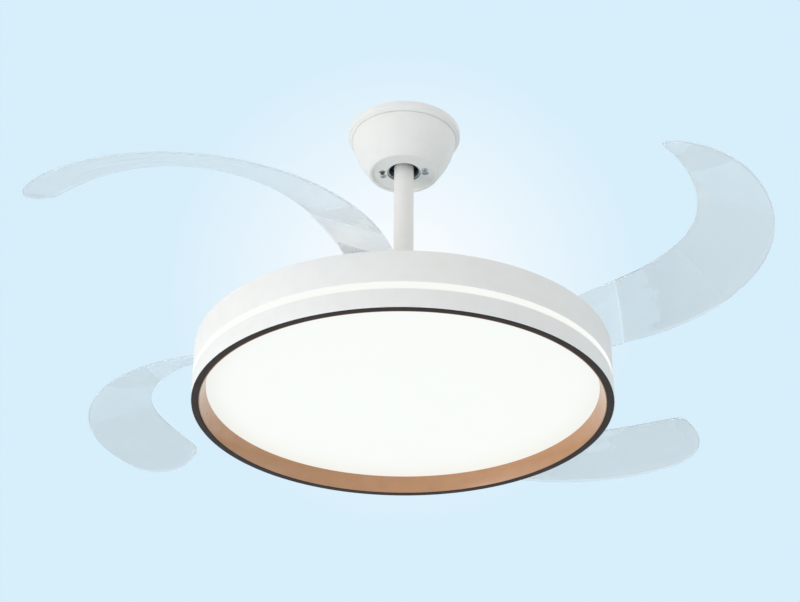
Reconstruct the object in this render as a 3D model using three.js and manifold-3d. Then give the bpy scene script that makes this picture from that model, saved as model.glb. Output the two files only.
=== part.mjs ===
// Retractable blade ceiling fan: a ring light with four clear curved blades that swing out of
// a spinning carrier, hung on a short rod from a ball in the ceiling bracket.
// Millimetres, +Z up. The origin is the middle of the bracket's top face, on the ceiling.
// Heights named ...Low, ...Top or ...Height inside the hanging part are above the lamp's lower rim.
import * as THREE from 'three';
import { mergeVertices } from 'three/addons/utils/BufferGeometryUtils.js';
import Module from 'manifold-3d';

const wasm = await Module();
wasm.setup();

// ---------------------------------------------------------------- driving dimensions

const overallDrop = 402;        // ceiling to the lamp's lower rim
const seatGap = 0.3;            // between pieces that rest on each other in a turned group
const runGap = 0.4;             // between pieces that slide on each other

// facets of round pieces
const drumFacets = 48;
const plateFacets = 30;
const motorFacets = 22;
const smallFacets = 18;
const boreFacets = 10;

// lamp drum
const drumRadius = 250;
const drumTop = 70.5;
const drumWall = 2.5;
const stripeLow = 23.1;         // the glowing line round the side
const stripeTop = 31.7;
const stripeRecess = 0.5;
const guideDepth = 7;           // of the light guide, from its face inwards
const rimWidth = 8.8;           // of the dark ring seen from below
const rimHeight = 3;
const lipLean = 7.9;            // how far the bronze lip leans in, up to the opal cover
const lipTop = 20.4;
const lipSheet = 1.2;
const shellFlange = 7;          // inward flange of a drum shell
const lipFlange = 4;            // of the bronze lip, over the rim ring
const lipLift = 0.4;            // of the lip's lower edge above the rim
const rimChamfer = 0.8;
const stripSheet = 1.2;         // board of the side lamps
const stripMargin = 1.5;        // of that board from the line's two edges
const flangeSheet = 1.5;
const diffuserWall = 2.4;
const diffuserInset = 2.5;      // of the cover's edge from the shell flanges
const diffuserDepth = 9;        // of its turned-up edge
const chassisLow = 50;          // steel plate that the lamp hangs on
const chassisSheet = 2;
const chassisInset = 2;         // of the plate's edge from the drum's wall
const beadInset = 45.5;         // of the stiffening bead from the plate's edge
const beadWidth = 8;
const beadHeight = 3;
const ledRingInner = 95;
const ledRingOuter = 188;
const ledBoardSheet = 1.6;
const driverHalfLength = 48;    // electronic module that feeds the lamp
const driverHalfWidth = 22;
const driverHeight = 22;
const driverPlace = -48;
const receiverHalfLength = 32;  // module that hears the remote control
const receiverHalfWidth = 15;
const receiverHeight = 16;
const receiverPlace = 40;

// hollow shaft that carries the lamp and the stator
const shaftRadius = 10;
const shaftBore = 6;
const shaftLow = 38;
const shaftTop = 152;
const shaftCollarRadius = 16;
const shaftCollarHeight = 4;
const shaftNutAcross = 27;
const shaftNutHeight = 8;

// carrier: the spinning plate with the four pivots
const carrierLow = 60;
const carrierSheet = 4;
const carrierDiscRadius = 176;
const carrierBore = 30;
const earRadius = 30;
const windowInner = 112;
const windowOuter = 160;
const windowSpan = 44;          // degrees

// synchronising gears
const gearModule = 4;
const pinionTeeth = 16;
const sunTeeth = 80;
const pressureAngle = 20;
const gearFace = 7;
const gearBacklash = 0.5;       // measured on the pitch circle
const sunBore = 88;
const pinionHub = 14;

// blades
const bladeCount = 4;
const parkAngle = -13;          // direction of the first pivot when the fan rests
const foldAngle = 98;           // swing from open to stowed, degrees
const restLags = [0, 1.5, 4.2, 0];  // how much wider each blade hangs at rest, degrees
const bladeArcRadius = 230.7;     // of the outer edge
const bladeThickness = 2.4;
const rootThickness = 3.6;
const rootPadEnd = 31;          // degrees along the arc, where the thick root ends
const rootStep = 1.5;           // degrees over which the thickness drops
const bladeStart = -9;          // degrees along the arc
const bladeTip = 152.5;
const tipStart = 130;           // where the edges begin to round into the tip
const tipPoint = 0.75;          // of the width, from the outer edge to the tip's end
const tipFullness = 2.4;        // 2 is an ellipse, more is squarer
const pivotAlong = 10.1;        // degrees along the arc, where the pivot sits
const outerEdgeHeight = 79.6;   // of the blade's middle surface at the root
const bladeRise = 9;            // per 100 degrees of arc
const bladeSlope = 0.45;        // rise per mm inwards
const slopeGain = 0.032;        // added to the slope per 100 degrees of arc
const bladeWidths = [           // degrees along the arc, width
  [-9, 48.5], [0, 56.7], [30, 79.2], [60, 82.6], [90, 79.6], [120, 78], [145, 70],
];

// blade arm and pivot
const armSheet = 3;
const armStart = -6;            // degrees along the blade's arc
const armEnd = 17;
const armEdge = 5;              // kept back from the blade's two edges
const armHubRadius = 13;
const ribThickness = 3;
const ribSpread = 50;           // degrees between the two ribs
const pinRadius = 5;
const pinHeadRadius = 9;
const pinHeadHeight = 2.6;
const pinTop = 87;
const nutLow = 83;
const nutRadius = 9;
const stopRadius = 3;
const stopReach = 20;           // of the stop posts from the pivot

// motor
const motorRadius = 80;
const motorWall = 4;
const domeSheet = 3.2;          // thickness of the upper housing's dome
const shaftClearance = 2;       // round the shaft, where it leaves the housings
const motorSplit = 98;          // where the two housings meet
const motorShoulder = 112;
const shoulderChamferWidth = 8;
const shoulderChamferHeight = 9;
const motorCrown = 127;
const bearingOuter = 17.5;
const bearingHeight = 8;
const lowerBearingLow = 68.3;
const upperBearingLow = 124;
const bearingBossWall = 4.2;
const bearingCap = 3;           // thickness of the housing over the upper bearing
const bearingLip = 1.5;         // of the boss below the upper bearing
const bearingGroove = 0.8;
const magnetDepth = 7;
const magnetLow = 80;
const magnetHeight = 28;
const airGap = 1;
const statorLow = 82;
const statorHeight = 24;
const statorSlots = 12;
const statorYoke = 34;
const toothNeck = 10;
const toothTipDepth = 5;
const toothTipSpan = 24;        // degrees
const windingInner = 36;
const windingOuter = 60;
const windingOverhang = 5;

// sync gear keeper and its springs
const keeperTopHeight = 74.4;
const keeperWidth = 6;
const springPostRadius = 2.5;
const springPostCircle = 112;
const springSpread = 50;        // degrees between the two ends of a spring when open
const springRadius = 2.6;       // of the coil's middle line
const springWire = 0.9;
const springTurns = 9;
const springSteps = 7;          // facets round one turn
const springPostTop = 78.5;
const springHeight = 76;

// rod, yoke and ball
const rodRadius = 12.5;
const rodWall = 2;
const rodAboveBall = 18;        // from the ball's centre to the rod's top
const ballDepth = 36;           // of the ball's centre below the ceiling
const ballRadius = 22;
const ballFlat = 10;            // of the ball's flat top above its centre
const yokeLow = 138;
const yokeTop = 195;
const yokeRadius = 17;
const yokeFootRadius = 26;
const yokeFootHeight = 3;
const yokeFootSlope = 5;        // height over which the foot narrows to the sleeve
const rodInYoke = 40;           // length of the rod inside the yoke
const boltRadius = 3;
const boltDrop = 15;            // of the yoke's bolt below the yoke's top
const boltHead = 5.5;
const ballPinRise = 4;          // of the cross pin above the ball's centre
const ballPinHalf = 18;

// canopy and bracket
const canopyTurn = -15;         // direction of the bracket, degrees
const canopyWall = 1.6;
const canopyBottomRadius = 44;
const canopyDepth = 52;         // of the bowl
const canopyFloorInset = 2.5;   // of the bowl's floor from its lower edge
const canopyTopRadius = 66.5;
const canopyHole = 21.5;
const canopyRingWidth = 3.5;
const canopyBulge = 1.8;        // power of the bowl's curve
const trimRadius = 72.5;
const trimInner = 63.5;
const trimHeight = 10.9;
const trimBevelWidth = 3.5;
const trimBevelHeight = 3.2;
const screwCircle = 27.5;
const screwHeadRadius = 3.6;
const screwHeadHeight = 2.4;
const screwRadius = 1.7;
const keyholeRadius = 4.4;
const keyholeTurn = 17;         // degrees from the slot's end to its wide mouth
const bracketSheet = 2.5;
const bracketHalfLength = 58;
const bracketHalfWidth = 15;
const bracketLegs = 35.5;
const slotHalfLength = 9;
const slotHalfWidth = 2.75;
const slotReach = 46;
const cupOuter = 26.5;
const cupTopDrop = 5;           // of the cup's rim below the ball's centre
const cupSeatDrop = 14;         // of the lower end of the ball's seat
const terminalSize = [27, 14, 11.5];

// ---------------------------------------------------------------- worked-out sizes

const deg = Math.PI / 180;
const pivotRadius = gearModule * (pinionTeeth + sunTeeth) / 2;
const pinionPitch = gearModule * pinionTeeth / 2;
const sunPitch = gearModule * sunTeeth / 2;
const carrierTop = carrierLow + carrierSheet;
const gearLow = carrierTop + runGap;
const gearTop = gearLow + gearFace;
const chassisTop = chassisLow + chassisSheet;
const motorLow = carrierTop + seatGap;
const ballHeight = overallDrop - ballDepth;
const ballTop = ballHeight + ballFlat;
const rodLow = yokeTop - rodInYoke;
const boltHeight = yokeTop - boltDrop;
const ballPinHeight = ballHeight + ballPinRise;
const rodTop = ballHeight + rodAboveBall;
const cupTop = ballHeight - cupTopDrop;
const cupSeat = ballHeight - cupSeatDrop;
const trimTop = overallDrop - seatGap;
const trimLow = trimTop - trimHeight;
const canopyTopHeight = trimLow - seatGap;
const canopyBottomLow = canopyTopHeight - canopyDepth;
const canopyFloor = canopyBottomLow + canopyFloorInset;
const shellInner = drumRadius - drumWall;
const flangeInner = shellInner - shellFlange;
const guideFace = drumRadius - stripeRecess;
const rimInner = drumRadius - rimWidth;
const lipTopRadius = rimInner - lipLean;
const shaftHole = shaftRadius + shaftClearance;
const diffuserRadius = flangeInner - diffuserInset;
const chassisRadius = shellInner - chassisInset;
const beadRadius = chassisRadius - beadInset;
const pivotPitch = 360 / bladeCount;

// ---------------------------------------------------------------- materials

const finish = (color, roughness, metalness = 0) =>
  new THREE.MeshStandardMaterial({ color, roughness, metalness });
const white = finish(0xe2e0dc, 0.45);
const steel = finish(0x9a9c9e, 0.35, 1);
const darkSteel = finish(0x55585c, 0.5, 1);
const aluminium = finish(0xb9bbbd, 0.4, 1);
const darkRim = finish(0x4c3e40, 0.5);
const bronze = finish(0xae896b, 0.4, 0.3);
const opal = finish(0xfafbf6, 0.6);
const copper = finish(0xb06a3a, 0.4, 1);
const boardWhite = finish(0xf0f0ea, 0.6);
const plasticGrey = finish(0xc9cacb, 0.6);
const plasticBlack = finish(0x2a2b2d, 0.6);
const nylon = finish(0xe8e4d8, 0.5);
const clear = new THREE.MeshStandardMaterial({
  color: 0xc8dae2, roughness: 0.1, transparent: true, opacity: 0.4,
});

// ---------------------------------------------------------------- geometry helpers

// Merges a geometry's vertices, drops flat triangles and makes the faces point out.
function closed(geometry) {
  const bare = geometry.clone();
  for (const name of Object.keys(bare.attributes)) {
    if (name !== 'position') bare.deleteAttribute(name);
  }
  const merged = mergeVertices(bare, 1e-4);
  const p = merged.attributes.position;
  const kept = [];
  let volume = 0;
  const [a, b, c] = [new THREE.Vector3(), new THREE.Vector3(), new THREE.Vector3()];
  for (let i = 0; i < merged.index.count; i += 3) {
    const tri = [merged.index.getX(i), merged.index.getX(i + 1), merged.index.getX(i + 2)];
    if (tri[0] === tri[1] || tri[1] === tri[2] || tri[2] === tri[0]) continue;
    kept.push(...tri);
    volume += a.fromBufferAttribute(p, tri[0])
      .dot(b.fromBufferAttribute(p, tri[1]).cross(c.fromBufferAttribute(p, tri[2])));
  }
  if (volume < 0) {
    for (let i = 0; i < kept.length; i += 3) [kept[i], kept[i + 1]] = [kept[i + 1], kept[i]];
  }
  merged.setIndex(kept);
  return merged;
}

function toSolid(geometry) {
  const g = closed(geometry);
  return new wasm.Manifold(new wasm.Mesh({
    numProp: 3,
    vertProperties: new Float32Array(g.attributes.position.array),
    triVerts: new Uint32Array(g.index.array),
  }));
}

function fromSolid(solid) {
  const mesh = solid.getMesh();
  const g = new THREE.BufferGeometry();
  g.setAttribute('position', new THREE.BufferAttribute(new Float32Array(mesh.vertProperties), 3));
  g.setIndex([...mesh.triVerts]);
  return closed(g);
}

// Joins and cuts geometries: the first, plus the list to add, minus the list to cut.
function carve(base, add = [], cut = []) {
  let solid = toSolid(base);
  for (const g of add) solid = solid.add(toSolid(g));
  for (const g of cut) solid = solid.subtract(toSolid(g));
  return fromSolid(solid);
}

// A closed profile of [radius, height] points turned about Z.
function turned(points, facets) {
  const profile = points.map(([r, z]) => new THREE.Vector2(r, z));
  if (points[0][0] > 0 || points.at(-1)[0] > 0) profile.push(profile[0].clone());
  return closed(new THREE.LatheGeometry(profile, facets).rotateX(Math.PI / 2));
}

const ring = (inner, outer, low, top, facets) =>
  turned([[inner, low], [outer, low], [outer, top], [inner, top]], facets);

const disc = (radius, low, top, facets) =>
  turned([[0, low], [radius, low], [radius, top], [0, top]], facets);

const box = (x, y, z, cx, cy, low) => new THREE.BoxGeometry(x, y, z).translate(cx, cy, low + z / 2);

// A flat outline of [x, y] points raised from low to top, with optional holes.
function raised(outline, low, top, holes = []) {
  const shape = new THREE.Shape(outline.map(([x, y]) => new THREE.Vector2(x, y)));
  for (const hole of holes) {
    shape.holes.push(new THREE.Path(hole.map(([x, y]) => new THREE.Vector2(x, y))));
  }
  const g = new THREE.ExtrudeGeometry(shape, { depth: top - low, bevelEnabled: false });
  return closed(g.translate(0, 0, low));
}

const polar = (radius, angle) => [radius * Math.cos(angle * deg), radius * Math.sin(angle * deg)];

const circle = (radius, facets, cx = 0, cy = 0) => Array.from({ length: facets }, (_, i) => {
  const [x, y] = polar(radius, 360 * i / facets);
  return [cx + x, cy + y];
});

// A round hole: its flats, not its corners, lie at the radius, so a round pin turns in it.
const bore = (radius, facets) => circle(radius / Math.cos(Math.PI / facets), facets);

const arc = (radius, from, to, steps) => Array.from({ length: steps + 1 }, (_, i) =>
  polar(radius, from + (to - from) * i / steps));

// A kidney-shaped outline between two radii and two angles.
const kidney = (inner, outer, from, to, steps) =>
  [...arc(outer, from, to, steps), ...arc(inner, to, from, steps)];

// A rounded rectangle.
function roundedRect(halfX, halfY, corner, steps = 2) {
  const points = [];
  for (let q = 0; q < 4; q += 1) {
    const cx = (q === 0 || q === 3 ? 1 : -1) * (halfX - corner);
    const cy = (q < 2 ? 1 : -1) * (halfY - corner);
    for (const [x, y] of arc(corner, 90 * q, 90 * q + 90, steps)) points.push([cx + x, cy + y]);
  }
  return points;
}

// A round bar along X through the point (0, 0, height).
const crossBar = (radius, half, height, facets = 10) =>
  new THREE.CylinderGeometry(radius, radius, 2 * half, facets)
    .rotateZ(Math.PI / 2).translate(0, 0, height);

// A round wire of the given radius along a list of points.
function wire(points, radius, sides) {
  const n = points.length;
  const positions = [];
  const index = [];
  let normal = new THREE.Vector3(0, 0, 1);
  for (let i = 0; i < n; i += 1) {
    const along = points[Math.min(i + 1, n - 1)].clone().sub(points[Math.max(i - 1, 0)]).normalize();
    normal = normal.clone().addScaledVector(along, -normal.dot(along)).normalize();
    const side = along.clone().cross(normal);
    for (let k = 0; k < sides; k += 1) {
      const t = 2 * Math.PI * k / sides;
      const v = points[i].clone().addScaledVector(normal, radius * Math.cos(t))
        .addScaledVector(side, radius * Math.sin(t));
      positions.push(v.x, v.y, v.z);
    }
  }
  for (let i = 0; i < n - 1; i += 1) {
    for (let k = 0; k < sides; k += 1) {
      const [a, b] = [i * sides + k, i * sides + (k + 1) % sides];
      index.push(a, b, b + sides, a, b + sides, a + sides);
    }
  }
  for (let k = 1; k < sides - 1; k += 1) {
    index.push(0, k + 1, k);
    index.push((n - 1) * sides, (n - 1) * sides + k, (n - 1) * sides + k + 1);
  }
  const g = new THREE.BufferGeometry();
  g.setAttribute('position', new THREE.Float32BufferAttribute(positions, 3));
  g.setIndex(index);
  return closed(g);
}

// A closed sheet between two surfaces of the same grid, point(i, j, side) with side 0 or 1.
function sheet(rows, columns, point) {
  const positions = [];
  const index = [];
  for (let side = 0; side < 2; side += 1) {
    for (let i = 0; i <= rows; i += 1) {
      for (let j = 0; j <= columns; j += 1) positions.push(...point(i / rows, j / columns, side));
    }
  }
  const size = (rows + 1) * (columns + 1);
  const at = (i, j, side) => side * size + i * (columns + 1) + j;
  const quad = (a, b, c, d) => index.push(a, b, c, a, c, d);
  for (let i = 0; i < rows; i += 1) {
    for (let j = 0; j < columns; j += 1) {
      quad(at(i, j, 0), at(i + 1, j, 0), at(i + 1, j + 1, 0), at(i, j + 1, 0));
      quad(at(i, j, 1), at(i, j + 1, 1), at(i + 1, j + 1, 1), at(i + 1, j, 1));
    }
  }
  for (let i = 0; i < rows; i += 1) {
    quad(at(i, 0, 0), at(i, 0, 1), at(i + 1, 0, 1), at(i + 1, 0, 0));
    quad(at(i, columns, 0), at(i + 1, columns, 0), at(i + 1, columns, 1), at(i, columns, 1));
  }
  for (let j = 0; j < columns; j += 1) {
    quad(at(0, j, 0), at(0, j + 1, 0), at(0, j + 1, 1), at(0, j, 1));
    quad(at(rows, j, 0), at(rows, j, 1), at(rows, j + 1, 1), at(rows, j + 1, 0));
  }
  const g = new THREE.BufferGeometry();
  g.setAttribute('position', new THREE.Float32BufferAttribute(positions, 3));
  g.setIndex(index);
  return closed(g);
}

// ---------------------------------------------------------------- the scene graph

const fan = new THREE.Group();
const ceilingSide = new THREE.Group();      // bracket and canopy, turned together
const hanging = new THREE.Group();          // everything below, measured from the rim
const rotor = new THREE.Group();            // what the motor spins
ceilingSide.position.z = -overallDrop;
ceilingSide.rotation.z = canopyTurn * deg;
hanging.position.z = -overallDrop;
rotor.rotation.z = parkAngle * deg;
hanging.add(rotor);
fan.add(ceilingSide, hanging);

function piece(name, geometry, material, parent) {
  const mesh = new THREE.Mesh(geometry, material);
  mesh.name = name;
  parent.add(mesh);
  return mesh;
}

// ---------------------------------------------------------------- ceiling bracket and canopy

function ceilingBracket() {
  const slot = (side) => roundedRect(slotHalfLength, slotHalfWidth, slotHalfWidth - 0.05)
    .map(([x, y]) => [x + side * slotReach, y]);
  const plate = raised(roundedRect(bracketHalfLength, bracketHalfWidth, 5),
    overallDrop - bracketSheet, overallDrop, [slot(1), slot(-1)]);
  const barLow = canopyFloor + canopyWall + seatGap;
  const bar = box(2 * bracketLegs, 2 * bracketHalfWidth, bracketSheet, 0, 0, barLow);
  const legs = [1, -1].map((side) => box(bracketSheet, 2 * bracketHalfWidth,
    overallDrop - bracketSheet / 2 - barLow, side * (bracketLegs - bracketSheet / 2), 0, barLow));
  const seatRadius = ballRadius + seatGap;
  const seatAt = (h) => Math.sqrt(seatRadius ** 2 - (ballHeight - h) ** 2);
  const seatSteps = 3;
  const seat = Array.from({ length: seatSteps + 1 }, (_, i) => {
    const h = cupSeat + (cupTop - cupSeat) * i / seatSteps;
    return [seatAt(h) + 0.1, h];
  });
  const mouth = seatAt(cupSeat) + 2;
  const cup = turned([[cupOuter, barLow], [cupOuter, cupTop], ...seat.reverse(), [mouth, barLow]],
    motorFacets);
  const throat = disc(mouth, barLow - 1, barLow + bracketSheet + 1, motorFacets);
  const taps = [1, -1].map((side) =>
    new THREE.CylinderGeometry(screwRadius + 0.3, screwRadius + 0.3, 12, 10)
      .rotateX(Math.PI / 2).translate(side * screwCircle, 0, barLow));
  const frame = carve(plate, [bar, ...legs], [throat]);
  return carve(frame, [cup], taps);
}

// Radius of the bowl's outer face at a height.
function bowlRadius(h) {
  const t = (h - canopyBottomLow) / (canopyTopHeight - canopyBottomLow);
  return canopyBottomRadius + (canopyTopRadius - canopyBottomRadius) * (1 - (1 - t) ** canopyBulge);
}

function canopyBowl() {
  const steps = 4;
  const outer = Array.from({ length: steps + 1 }, (_, i) => {
    const h = canopyBottomLow + (canopyTopHeight - canopyBottomLow) * i / steps;
    return [bowlRadius(h), h];
  });
  const inner = outer.filter((_, i) => i % 2 === 0 && i > 0).map(([r, h]) => [r - canopyWall, h]).reverse();
  const floorTop = canopyFloor + canopyWall;
  const bowl = turned([
    [canopyHole, canopyFloor], [canopyBottomRadius - canopyRingWidth, canopyFloor],
    [canopyBottomRadius - canopyRingWidth, canopyBottomLow], ...outer, ...inner,
    [bowlRadius(floorTop) - canopyWall, floorTop], [canopyHole, floorTop],
  ], plateFacets);
  const cuts = [];
  for (const side of [0, 180]) {
    const drill = (radius, angle) => disc(radius, canopyFloor - 1, floorTop + 1, boreFacets)
      .translate(...polar(screwCircle, side + angle), 0);
    const half = screwRadius + 0.5;
    cuts.push(drill(keyholeRadius, keyholeTurn), drill(half, 0));
    cuts.push(raised(kidney(screwCircle - half, screwCircle + half, side, side + keyholeTurn, 2),
      canopyFloor - 1, floorTop + 1));
  }
  return carve(bowl, [], cuts);
}

function canopyScrew(side) {
  const headTop = canopyFloor - 0.1;
  const barTop = canopyFloor + canopyWall + seatGap + bracketSheet;
  const g = turned([
    [0, headTop - screwHeadHeight], [screwHeadRadius * 0.7, headTop - screwHeadHeight],
    [screwHeadRadius, headTop - screwHeadHeight * 0.45], [screwHeadRadius, headTop],
    [screwRadius, headTop], [screwRadius, barTop], [0, barTop],
  ], 10);
  return g.translate(side * screwCircle, 0, 0);
}

function terminalBlock() {
  const [x, y, z] = terminalSize;
  const low = overallDrop - bracketSheet - z;
  const cx = 18;
  const ports = [-1, 0, 1].map((k) =>
    new THREE.CylinderGeometry(2.4, 2.4, y + 2, 8).translate(cx + k * 8, 0, low + z / 2));
  return carve(box(x, y, z, cx, 0, low), [], ports);
}

piece('ceiling_bracket', ceilingBracket(), steel, ceilingSide);
piece('canopy_bowl', canopyBowl(), white, ceilingSide);
piece('canopy_trim_ring', turned([
  [trimInner, trimLow], [trimRadius - trimBevelWidth, trimLow],
  [trimRadius, trimLow + trimBevelHeight],
  [trimRadius, trimTop], [trimInner, trimTop],
], plateFacets), white, ceilingSide);
piece('canopy_screw_right', canopyScrew(1), steel, ceilingSide);
piece('canopy_screw_left', canopyScrew(-1), steel, ceilingSide);
piece('terminal_block', terminalBlock(), plasticGrey, ceilingSide);

// ---------------------------------------------------------------- ball, rod and yoke

function hangerBall() {
  const hole = rodRadius + seatGap;
  const steps = 6;
  const low = -Math.acos(hole / ballRadius) / deg;
  const top = Math.asin((ballTop - ballHeight) / ballRadius) / deg;
  const round = Array.from({ length: steps + 1 }, (_, i) => {
    const [r, h] = polar(ballRadius, low + (top - low) * i / steps);
    return [r, ballHeight + h];
  });
  const ball = turned([...round, [hole, ballTop]], motorFacets);
  return carve(ball, [], [crossBar(boltRadius + seatGap, 30, ballPinHeight)]);
}

function downrod() {
  const tube = ring(rodRadius - rodWall, rodRadius, rodLow, rodTop, smallFacets);
  return carve(tube, [], [
    crossBar(boltRadius + seatGap, 30, ballPinHeight), crossBar(boltRadius + seatGap, 30, boltHeight),
  ]);
}

function motorYoke() {
  const boreLow = shaftRadius + seatGap;
  const boreTop = rodRadius + seatGap;
  const sleeve = turned([
    [boreLow, yokeLow], [yokeFootRadius, yokeLow], [yokeFootRadius, yokeLow + yokeFootHeight],
    [yokeRadius, yokeLow + yokeFootHeight + yokeFootSlope], [yokeRadius, yokeTop],
    [boreTop, yokeTop],
    [boreTop, rodLow - seatGap], [boreLow, rodLow - seatGap],
  ], smallFacets);
  return carve(sleeve, [], [crossBar(boltRadius + seatGap, 30, boltHeight)]);
}

// A bolt along X through the yoke, its head on the +X side.
function yokeBolt() {
  const tail = -(yokeRadius + 8);
  const headStart = yokeRadius + seatGap;
  return closed(turned([
    [0, tail], [boltRadius, tail], [boltRadius, headStart], [boltHead, headStart],
    [boltHead, headStart + 4], [0, headStart + 4],
  ], 10).rotateY(Math.PI / 2).translate(0, 0, boltHeight));
}

function yokeNut() {
  const start = -(yokeRadius + seatGap);
  return closed(raised(circle(boltHead, 6), start - 5, start, [bore(boltRadius + seatGap, boreFacets)])
    .rotateY(Math.PI / 2).translate(0, 0, boltHeight));
}

piece('hanger_ball', hangerBall(), plasticBlack, hanging);
piece('ball_cross_pin', closed(crossBar(boltRadius, ballPinHalf, ballPinHeight)), steel, hanging);
piece('downrod', downrod(), white, hanging);
piece('motor_yoke', motorYoke(), darkSteel, hanging);
piece('yoke_bolt', yokeBolt(), steel, hanging);
piece('yoke_nut', yokeNut(), steel, hanging);

// ---------------------------------------------------------------- shaft and stator

function statorCore(grow) {
  const outer = motorRadius - motorWall - seatGap - magnetDepth - airGap + grow;
  const neck = (toothNeck / 2 + grow);
  const tipInner = outer - toothTipDepth - 2 * grow;
  const half = toothTipSpan / 2 + grow / outer / deg;
  const points = [];
  for (let k = 0; k < statorSlots; k += 1) {
    const mid = 360 * k / statorSlots;
    const neckAt = (r) => Math.asin(neck / r) / deg;
    points.push(polar(statorYoke + grow, mid - neckAt(statorYoke)));
    points.push(polar(tipInner, mid - neckAt(tipInner)));
    points.push(polar(outer - 2, mid - half));
    points.push(polar(outer, mid - half));
    points.push(polar(outer, mid + half));
    points.push(polar(outer - 2, mid + half));
    points.push(polar(tipInner, mid + neckAt(tipInner)));
    points.push(polar(statorYoke + grow, mid + neckAt(statorYoke)));
  }
  return points;
}

function statorWinding() {
  const low = statorLow - windingOverhang;
  const top = statorLow + statorHeight + windingOverhang;
  const coilRing = ring(windingInner, windingOuter, low, top, motorFacets);
  const space = raised(statorCore(runGap), statorLow - seatGap, statorLow + statorHeight + seatGap);
  return carve(coilRing, [], [space]);
}

piece('motor_shaft', turned([
  [shaftBore, shaftLow], [shaftRadius, shaftLow], [shaftRadius, chassisTop],
  [shaftCollarRadius, chassisTop], [shaftCollarRadius, chassisTop + shaftCollarHeight],
  [shaftRadius, chassisTop + shaftCollarHeight], [shaftRadius, shaftTop], [shaftBore, shaftTop],
], smallFacets), steel, hanging);
piece('shaft_nut', raised(circle(shaftNutAcross / Math.sqrt(3), 6), chassisLow - shaftNutHeight,
  chassisLow, [bore(shaftRadius + seatGap, smallFacets)]), steel, hanging);
piece('stator_core', raised(statorCore(0), statorLow, statorLow + statorHeight,
  [bore(shaftRadius + seatGap, smallFacets)]), darkSteel, hanging);
piece('stator_winding', statorWinding(), copper, hanging);

// ---------------------------------------------------------------- lamp

function lampChassis() {
  const bead = beadWidth / 2;
  const hole = shaftRadius + seatGap;
  return turned([
    [hole, chassisLow], [beadRadius - bead, chassisLow], [beadRadius, chassisLow + beadHeight],
    [beadRadius + bead, chassisLow], [chassisRadius, chassisLow], [chassisRadius, chassisTop],
    [beadRadius + bead, chassisTop], [beadRadius, chassisTop + beadHeight],
    [beadRadius - bead, chassisTop], [hole, chassisTop],
  ], plateFacets);
}

// Case of an electronic module with two screw ears, under the chassis.
function moduleCase(halfX, halfY, height, place) {
  const low = chassisLow - height;
  const body = raised(roundedRect(halfX, halfY, 4), low, chassisLow);
  const ears = [1, -1].map((side) => box(12, 14, 2.5, side * (halfX + 5), 0, chassisLow - 2.5));
  const holes = [1, -1].map((side) => disc(2, chassisLow - 4, chassisLow + 1, 10)
    .translate(side * (halfX + 6.5), 0, 0));
  return carve(body, ears, holes).translate(0, place, 0);
}

piece('lamp_upper_shell', turned([
  [shellInner, stripeTop], [drumRadius, stripeTop], [drumRadius, drumTop], [shellInner, drumTop],
  [shellInner, chassisLow], [flangeInner, chassisLow], [flangeInner, chassisLow - flangeSheet],
  [shellInner, chassisLow - flangeSheet],
], drumFacets), white, hanging);
piece('light_guide_ring', ring(guideFace - guideDepth, guideFace, stripeLow, stripeTop, drumFacets),
  opal, hanging);
const stripFace = guideFace - guideDepth - seatGap;
piece('side_led_strip', ring(stripFace - stripSheet, stripFace, stripeLow + stripMargin,
  stripeTop - stripMargin, drumFacets / 2), boardWhite, hanging);
piece('lamp_lower_shell', turned([
  [shellInner, rimHeight], [drumRadius, rimHeight], [drumRadius, stripeLow],
  [flangeInner, stripeLow], [flangeInner, stripeLow - flangeSheet],
  [shellInner, stripeLow - flangeSheet],
], drumFacets), white, hanging);
piece('rim_ring', turned([
  [rimInner, 0], [drumRadius - rimChamfer, 0], [drumRadius, rimChamfer], [drumRadius, rimHeight],
  [rimInner, rimHeight],
], drumFacets), darkRim, hanging);
piece('reflector_lip', turned([
  [rimInner - seatGap - lipSheet, lipLift], [rimInner - seatGap, lipLift],
  [rimInner - seatGap, rimHeight], [rimInner + lipFlange, rimHeight],
  [rimInner + lipFlange, rimHeight + lipSheet],
  [lipTopRadius + 2 * lipSheet, lipTop], [lipTopRadius, lipTop],
], drumFacets), bronze, hanging);
piece('diffuser', turned([
  [0, lipTop], [diffuserRadius - 1, lipTop], [diffuserRadius, lipTop + 1],
  [diffuserRadius, lipTop + diffuserDepth], [diffuserRadius - 2, lipTop + diffuserDepth],
  [diffuserRadius - 2, lipTop + diffuserWall], [0, lipTop + diffuserWall],
], drumFacets), opal, hanging);
piece('lamp_chassis', lampChassis(), steel, hanging);
piece('led_board', ring(ledRingInner, ledRingOuter, chassisLow - ledBoardSheet, chassisLow, plateFacets),
  boardWhite, hanging);
piece('led_driver', moduleCase(driverHalfLength, driverHalfWidth,
  driverHeight, driverPlace), plasticGrey, hanging);
piece('remote_receiver', moduleCase(receiverHalfLength, receiverHalfWidth,
  receiverHeight, receiverPlace), plasticGrey, hanging);

// ---------------------------------------------------------------- gears

// Half the angle that a tooth takes at a radius, in degrees, on an involute flank.
function toothHalf(teeth, radius) {
  const pitch = gearModule * teeth / 2;
  const base = pitch * Math.cos(pressureAngle * deg);
  const inv = (angle) => Math.tan(angle) - angle;
  const at = Math.acos(Math.min(1, base / Math.max(radius, base)));
  const onPitch = Math.PI / 2 / teeth - gearBacklash / 4 / pitch;
  return (onPitch + inv(pressureAngle * deg) - inv(at)) / deg;
}

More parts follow.
